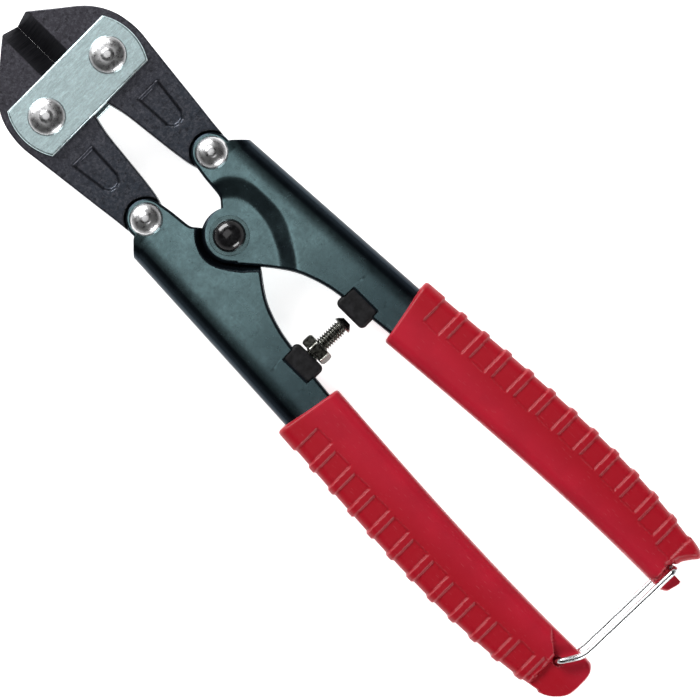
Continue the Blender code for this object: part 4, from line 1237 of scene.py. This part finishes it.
class BOLT_CUTTERS_OT_jaws(bpy.types.Operator):
    """Make the two forged jaws"""

    bl_idname = "bolt_cutters.jaws"
    bl_label = "Jaws"

    def execute(self, context):
        for name, side in (("left_jaw_shape", -1), ("right_jaw_shape", 1)):
            make_jaw(name, side, context.scene.bolt_cutter_sizes)
        return {"FINISHED"}


class BOLT_CUTTERS_OT_straps(bpy.types.Operator):
    """Make the two straps that join the jaws"""

    bl_idname = "bolt_cutters.straps"
    bl_label = "Straps"

    def execute(self, context):
        sizes = context.scene.bolt_cutter_sizes
        make_strap("top_strap_plate", "top_strap", 1, sizes)
        make_strap("bottom_strap_plate", "bottom_strap", -1, sizes)
        return {"FINISHED"}


class BOLT_CUTTERS_OT_rivets(bpy.types.Operator):
    """Make the strap, jaw and pivot rivets"""

    bl_idname = "bolt_cutters.rivets"
    bl_label = "Rivets"

    def execute(self, context):
        for side in ("left", "right"):
            make_rivet(side + "_strap_rivet_head", side + "_strap_rivet", "straps", "bright_rivet",
                       STRAP_SHANK, STRAP_TOP, NUB)
            make_rivet(side + "_jaw_rivet_head", side + "_jaw_rivet", side + "_handle", "bright_rivet",
                       JAW_SHANK, JAW_HALF, NUB)
        washer_top = span("top_pivot_washer")[1][2] - WASHER_ABOVE
        make_rivet("pivot_rivet_head", "pivot_rivet", "left_handle", "black_rivet",
                   PIVOT_SHANK, washer_top, NO_NUB)
        return {"FINISHED"}


class BOLT_CUTTERS_OT_washers(bpy.types.Operator):
    """Make the pivot's washers, and finish the spacer and bushings that they hide"""

    bl_idname = "bolt_cutters.washers"
    bl_label = "Washers and bushings"

    def execute(self, context):
        low, high = span("top_pivot_washer")
        plate_top, washer_top = low[2] - WASHER_BELOW, high[2] - WASHER_ABOVE
        for name, ends in (("top", (plate_top, washer_top)), ("bottom", (-washer_top, -plate_top))):
            make_ring(name + "_washer_ring", name + "_pivot_washer", "left_handle",
                      WASHER_BORE, *ends, high[0])
        for node in ("pivot_spacer", "left_jaw_bushing", "right_jaw_bushing"):
            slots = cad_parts[node].data.materials
            slots.clear()
            slots.append(finish_named("washer_steel"))
        return {"FINISHED"}


class BOLT_CUTTERS_OT_handles(bpy.types.Operator):
    """Make the two pressed handles"""

    bl_idname = "bolt_cutters.handles"
    bl_label = "Handles"

    def execute(self, context):
        sizes = context.scene.bolt_cutter_sizes
        make_handle("left_handle", -1, LEFT_PRESS, *LEFT_DROP, sizes)
        make_handle("right_handle", 1, RIGHT_PRESS, *RIGHT_DROP, sizes)
        return {"FINISHED"}


class BOLT_CUTTERS_OT_grips(bpy.types.Operator):
    """Make the two moulded grips"""

    bl_idname = "bolt_cutters.grips"
    bl_label = "Grips"

    def execute(self, context):
        sizes = context.scene.bolt_cutter_sizes
        make_grip("left_grip", -1, sizes)
        make_grip("right_grip", 1, sizes)
        return {"FINISHED"}


class BOLT_CUTTERS_OT_stop(bpy.types.Operator):
    """Make the stop screw, its lock nut and the two blocks"""

    bl_idname = "bolt_cutters.stop"
    bl_label = "Stop screw and blocks"

    def execute(self, context):
        sizes = context.scene.bolt_cutter_sizes
        make_screw("stop_screw_thread", "stop_screw", sizes)
        make_nut("lock_nut_hexagon", "lock_nut", sizes)
        make_block("screw_block_shape", "screw_block", "left_handle")
        make_block("stop_block_shape", "stop_block", "right_handle")
        return {"FINISHED"}


class BOLT_CUTTERS_OT_bail(bpy.types.Operator):
    """Make the wire bail that latches the grips"""

    bl_idname = "bolt_cutters.bail"
    bl_label = "Bail"

    def execute(self, context):
        make_bail("bail_wire", "latch_bail", context.scene.bolt_cutter_sizes)
        return {"FINISHED"}


def light(name, watts, size, spot, aim=(0, 0, 0)):
    """A rectangular light at spot that looks at aim, both in metres."""
    data = bpy.data.lights.new(name, "AREA")
    data.shape = "RECTANGLE"
    data.size, data.size_y = size
    data.energy = watts
    lamp = bpy.data.objects.new(name, data)
    bpy.context.scene.collection.objects.link(lamp)
    lamp.location = spot
    away = np.array(spot) - np.array(aim)
    flat = math.hypot(away[0], away[1])
    lamp.rotation_euler = (math.atan2(flat, away[2]), 0, math.atan2(away[0], -away[1]))


def stage_finish(name, shade, roughness, glow):
    """A matt, faintly mottled finish for the floor, with a glow of its own that keeps shadows pale."""
    f = Finish(name, shade, roughness, 0.0, Emission_Color=(1, 1, 1, 1), Emission_Strength=glow)
    cloud = f.between(f.grain(60.0, 3.0), 0.3, 0.7)
    f.colour(f.blend(cloud, f.shade(0.985), f.shade(1.015)))
    return f.material


FLOOR_HALF = 3.0
CAMERA_SPOT = (0.0008, -0.0085)
CAMERA_TURN = math.radians(-45.4)
ROOM_FALL = (0.30, 0.62)  # heights of the direction between which the room darkens
ROOM_TOP = 0.02
TOP_LIGHT_Y = 0.39


def room(surround):
    """The room around the tool: as bright as surround near the floor, and nearly black overhead."""
    world = bpy.data.worlds.new("room")
    world.use_nodes = True
    tree = world.node_tree
    background = tree.nodes["Background"]
    background.inputs["Color"].default_value = (1, 1, 1, 1)
    ahead = tree.nodes.new("ShaderNodeTexCoord").outputs["Generated"]
    split = tree.nodes.new("ShaderNodeSeparateXYZ")
    fall = tree.nodes.new("ShaderNodeMapRange")
    fall.interpolation_type = "SMOOTHSTEP"
    settings = {"From Min": ROOM_FALL[0], "From Max": ROOM_FALL[1], "To Min": surround, "To Max": ROOM_TOP}
    for key, value in settings.items():
        fall.inputs[key].default_value = value
    tree.links.new(ahead, split.inputs[0])
    tree.links.new(split.outputs["Z"], fall.inputs["Value"])
    tree.links.new(fall.outputs["Result"], background.inputs["Strength"])
    return world


def overhead_camera(studio):
    """A camera over the tool that looks straight down, turned so that the tool lies diagonally in view."""
    data = bpy.data.cameras.new("camera")
    data.lens = studio.camera_lens
    data.sensor_width = 36
    data.clip_start = 0.01
    camera = bpy.data.objects.new("camera", data)
    camera.location = (*CAMERA_SPOT, ORIGIN[2] + studio.camera_height)
    camera.rotation_euler = (0, 0, CAMERA_TURN)
    return camera


class BOLT_CUTTERS_OT_studio(bpy.types.Operator):
    """Make the floor, the lights and the camera"""

    bl_idname = "bolt_cutters.studio"
    bl_label = "Studio"

    def execute(self, context):
        scene = context.scene
        studio = scene.bolt_cutter_studio
        half = FLOOR_HALF
        corners = [(-half, -half, 0), (half, -half, 0), (half, half, 0), (-half, half, 0)]
        mesh = bpy.data.meshes.new("floor")
        mesh.from_pydata(corners, [], [(0, 1, 2, 3)])
        mesh.materials.append(stage_finish("floor", tuple(studio.floor), 0.7, studio.glow))
        floor = bpy.data.objects.new("floor", mesh)
        scene.collection.objects.link(floor)
        light("key", studio.key_power, (0.7, 0.35), (0.12, 0.75, 0.55))
        light("fill", studio.fill_power, (0.5, 0.25), (-0.1, -0.8, 0.5))
        light("top", studio.top_power, (0.9, 0.72), (0, TOP_LIGHT_Y, 1.5), (0, TOP_LIGHT_Y, 0))
        scene.world = room(studio.surround)
        scene.view_settings.view_transform = "Standard"
        scene.camera = overhead_camera(studio)
        scene.collection.objects.link(scene.camera)
        return {"FINISHED"}


PIECE_OPERATORS = (
    BOLT_CUTTERS_OT_jaws, BOLT_CUTTERS_OT_straps, BOLT_CUTTERS_OT_rivets, BOLT_CUTTERS_OT_washers,
    BOLT_CUTTERS_OT_handles, BOLT_CUTTERS_OT_grips, BOLT_CUTTERS_OT_stop, BOLT_CUTTERS_OT_bail,
    BOLT_CUTTERS_OT_studio,
)
SETTINGS = (
    ("bolt_cutter_sizes", BoltCutterSizes),
    ("bolt_cutter_colours", BoltCutterColours),
    ("bolt_cutter_studio", BoltCutterStudio),
)


class BOLT_CUTTERS_PT_panel(bpy.types.Panel):
    """Settings of the bolt cutters, and a button for each piece"""

    bl_idname = "BOLT_CUTTERS_PT_panel"
    bl_label = "Bolt Cutters"
    bl_space_type = "VIEW_3D"
    bl_region_type = "UI"
    bl_category = "Bolt Cutters"

    def draw(self, context):
        for holder, group in SETTINGS:
            box = self.layout.box()
            for key in group.__annotations__:
                box.prop(getattr(context.scene, holder), key)
        for operator in PIECE_OPERATORS:
            self.layout.operator(operator.bl_idname)


def register():
    """Register the settings, the operators and the panel."""
    for holder, group in SETTINGS:
        bpy.utils.register_class(group)
        setattr(bpy.types.Scene, holder, PointerProperty(type=group))
    for kind in (*PIECE_OPERATORS, BOLT_CUTTERS_PT_panel):
        bpy.utils.register_class(kind)


def unregister():
    """Undo register."""
    for kind in reversed((*PIECE_OPERATORS, BOLT_CUTTERS_PT_panel)):
        bpy.utils.unregister_class(kind)
    for holder, group in reversed(SETTINGS):
        delattr(bpy.types.Scene, holder)
        bpy.utils.unregister_class(group)


def main():
    register()
    for operator in PIECE_OPERATORS:
        group, name = operator.bl_idname.split(".")
        getattr(getattr(bpy.ops, group), name)()


if __name__ == "__main__":
    main()
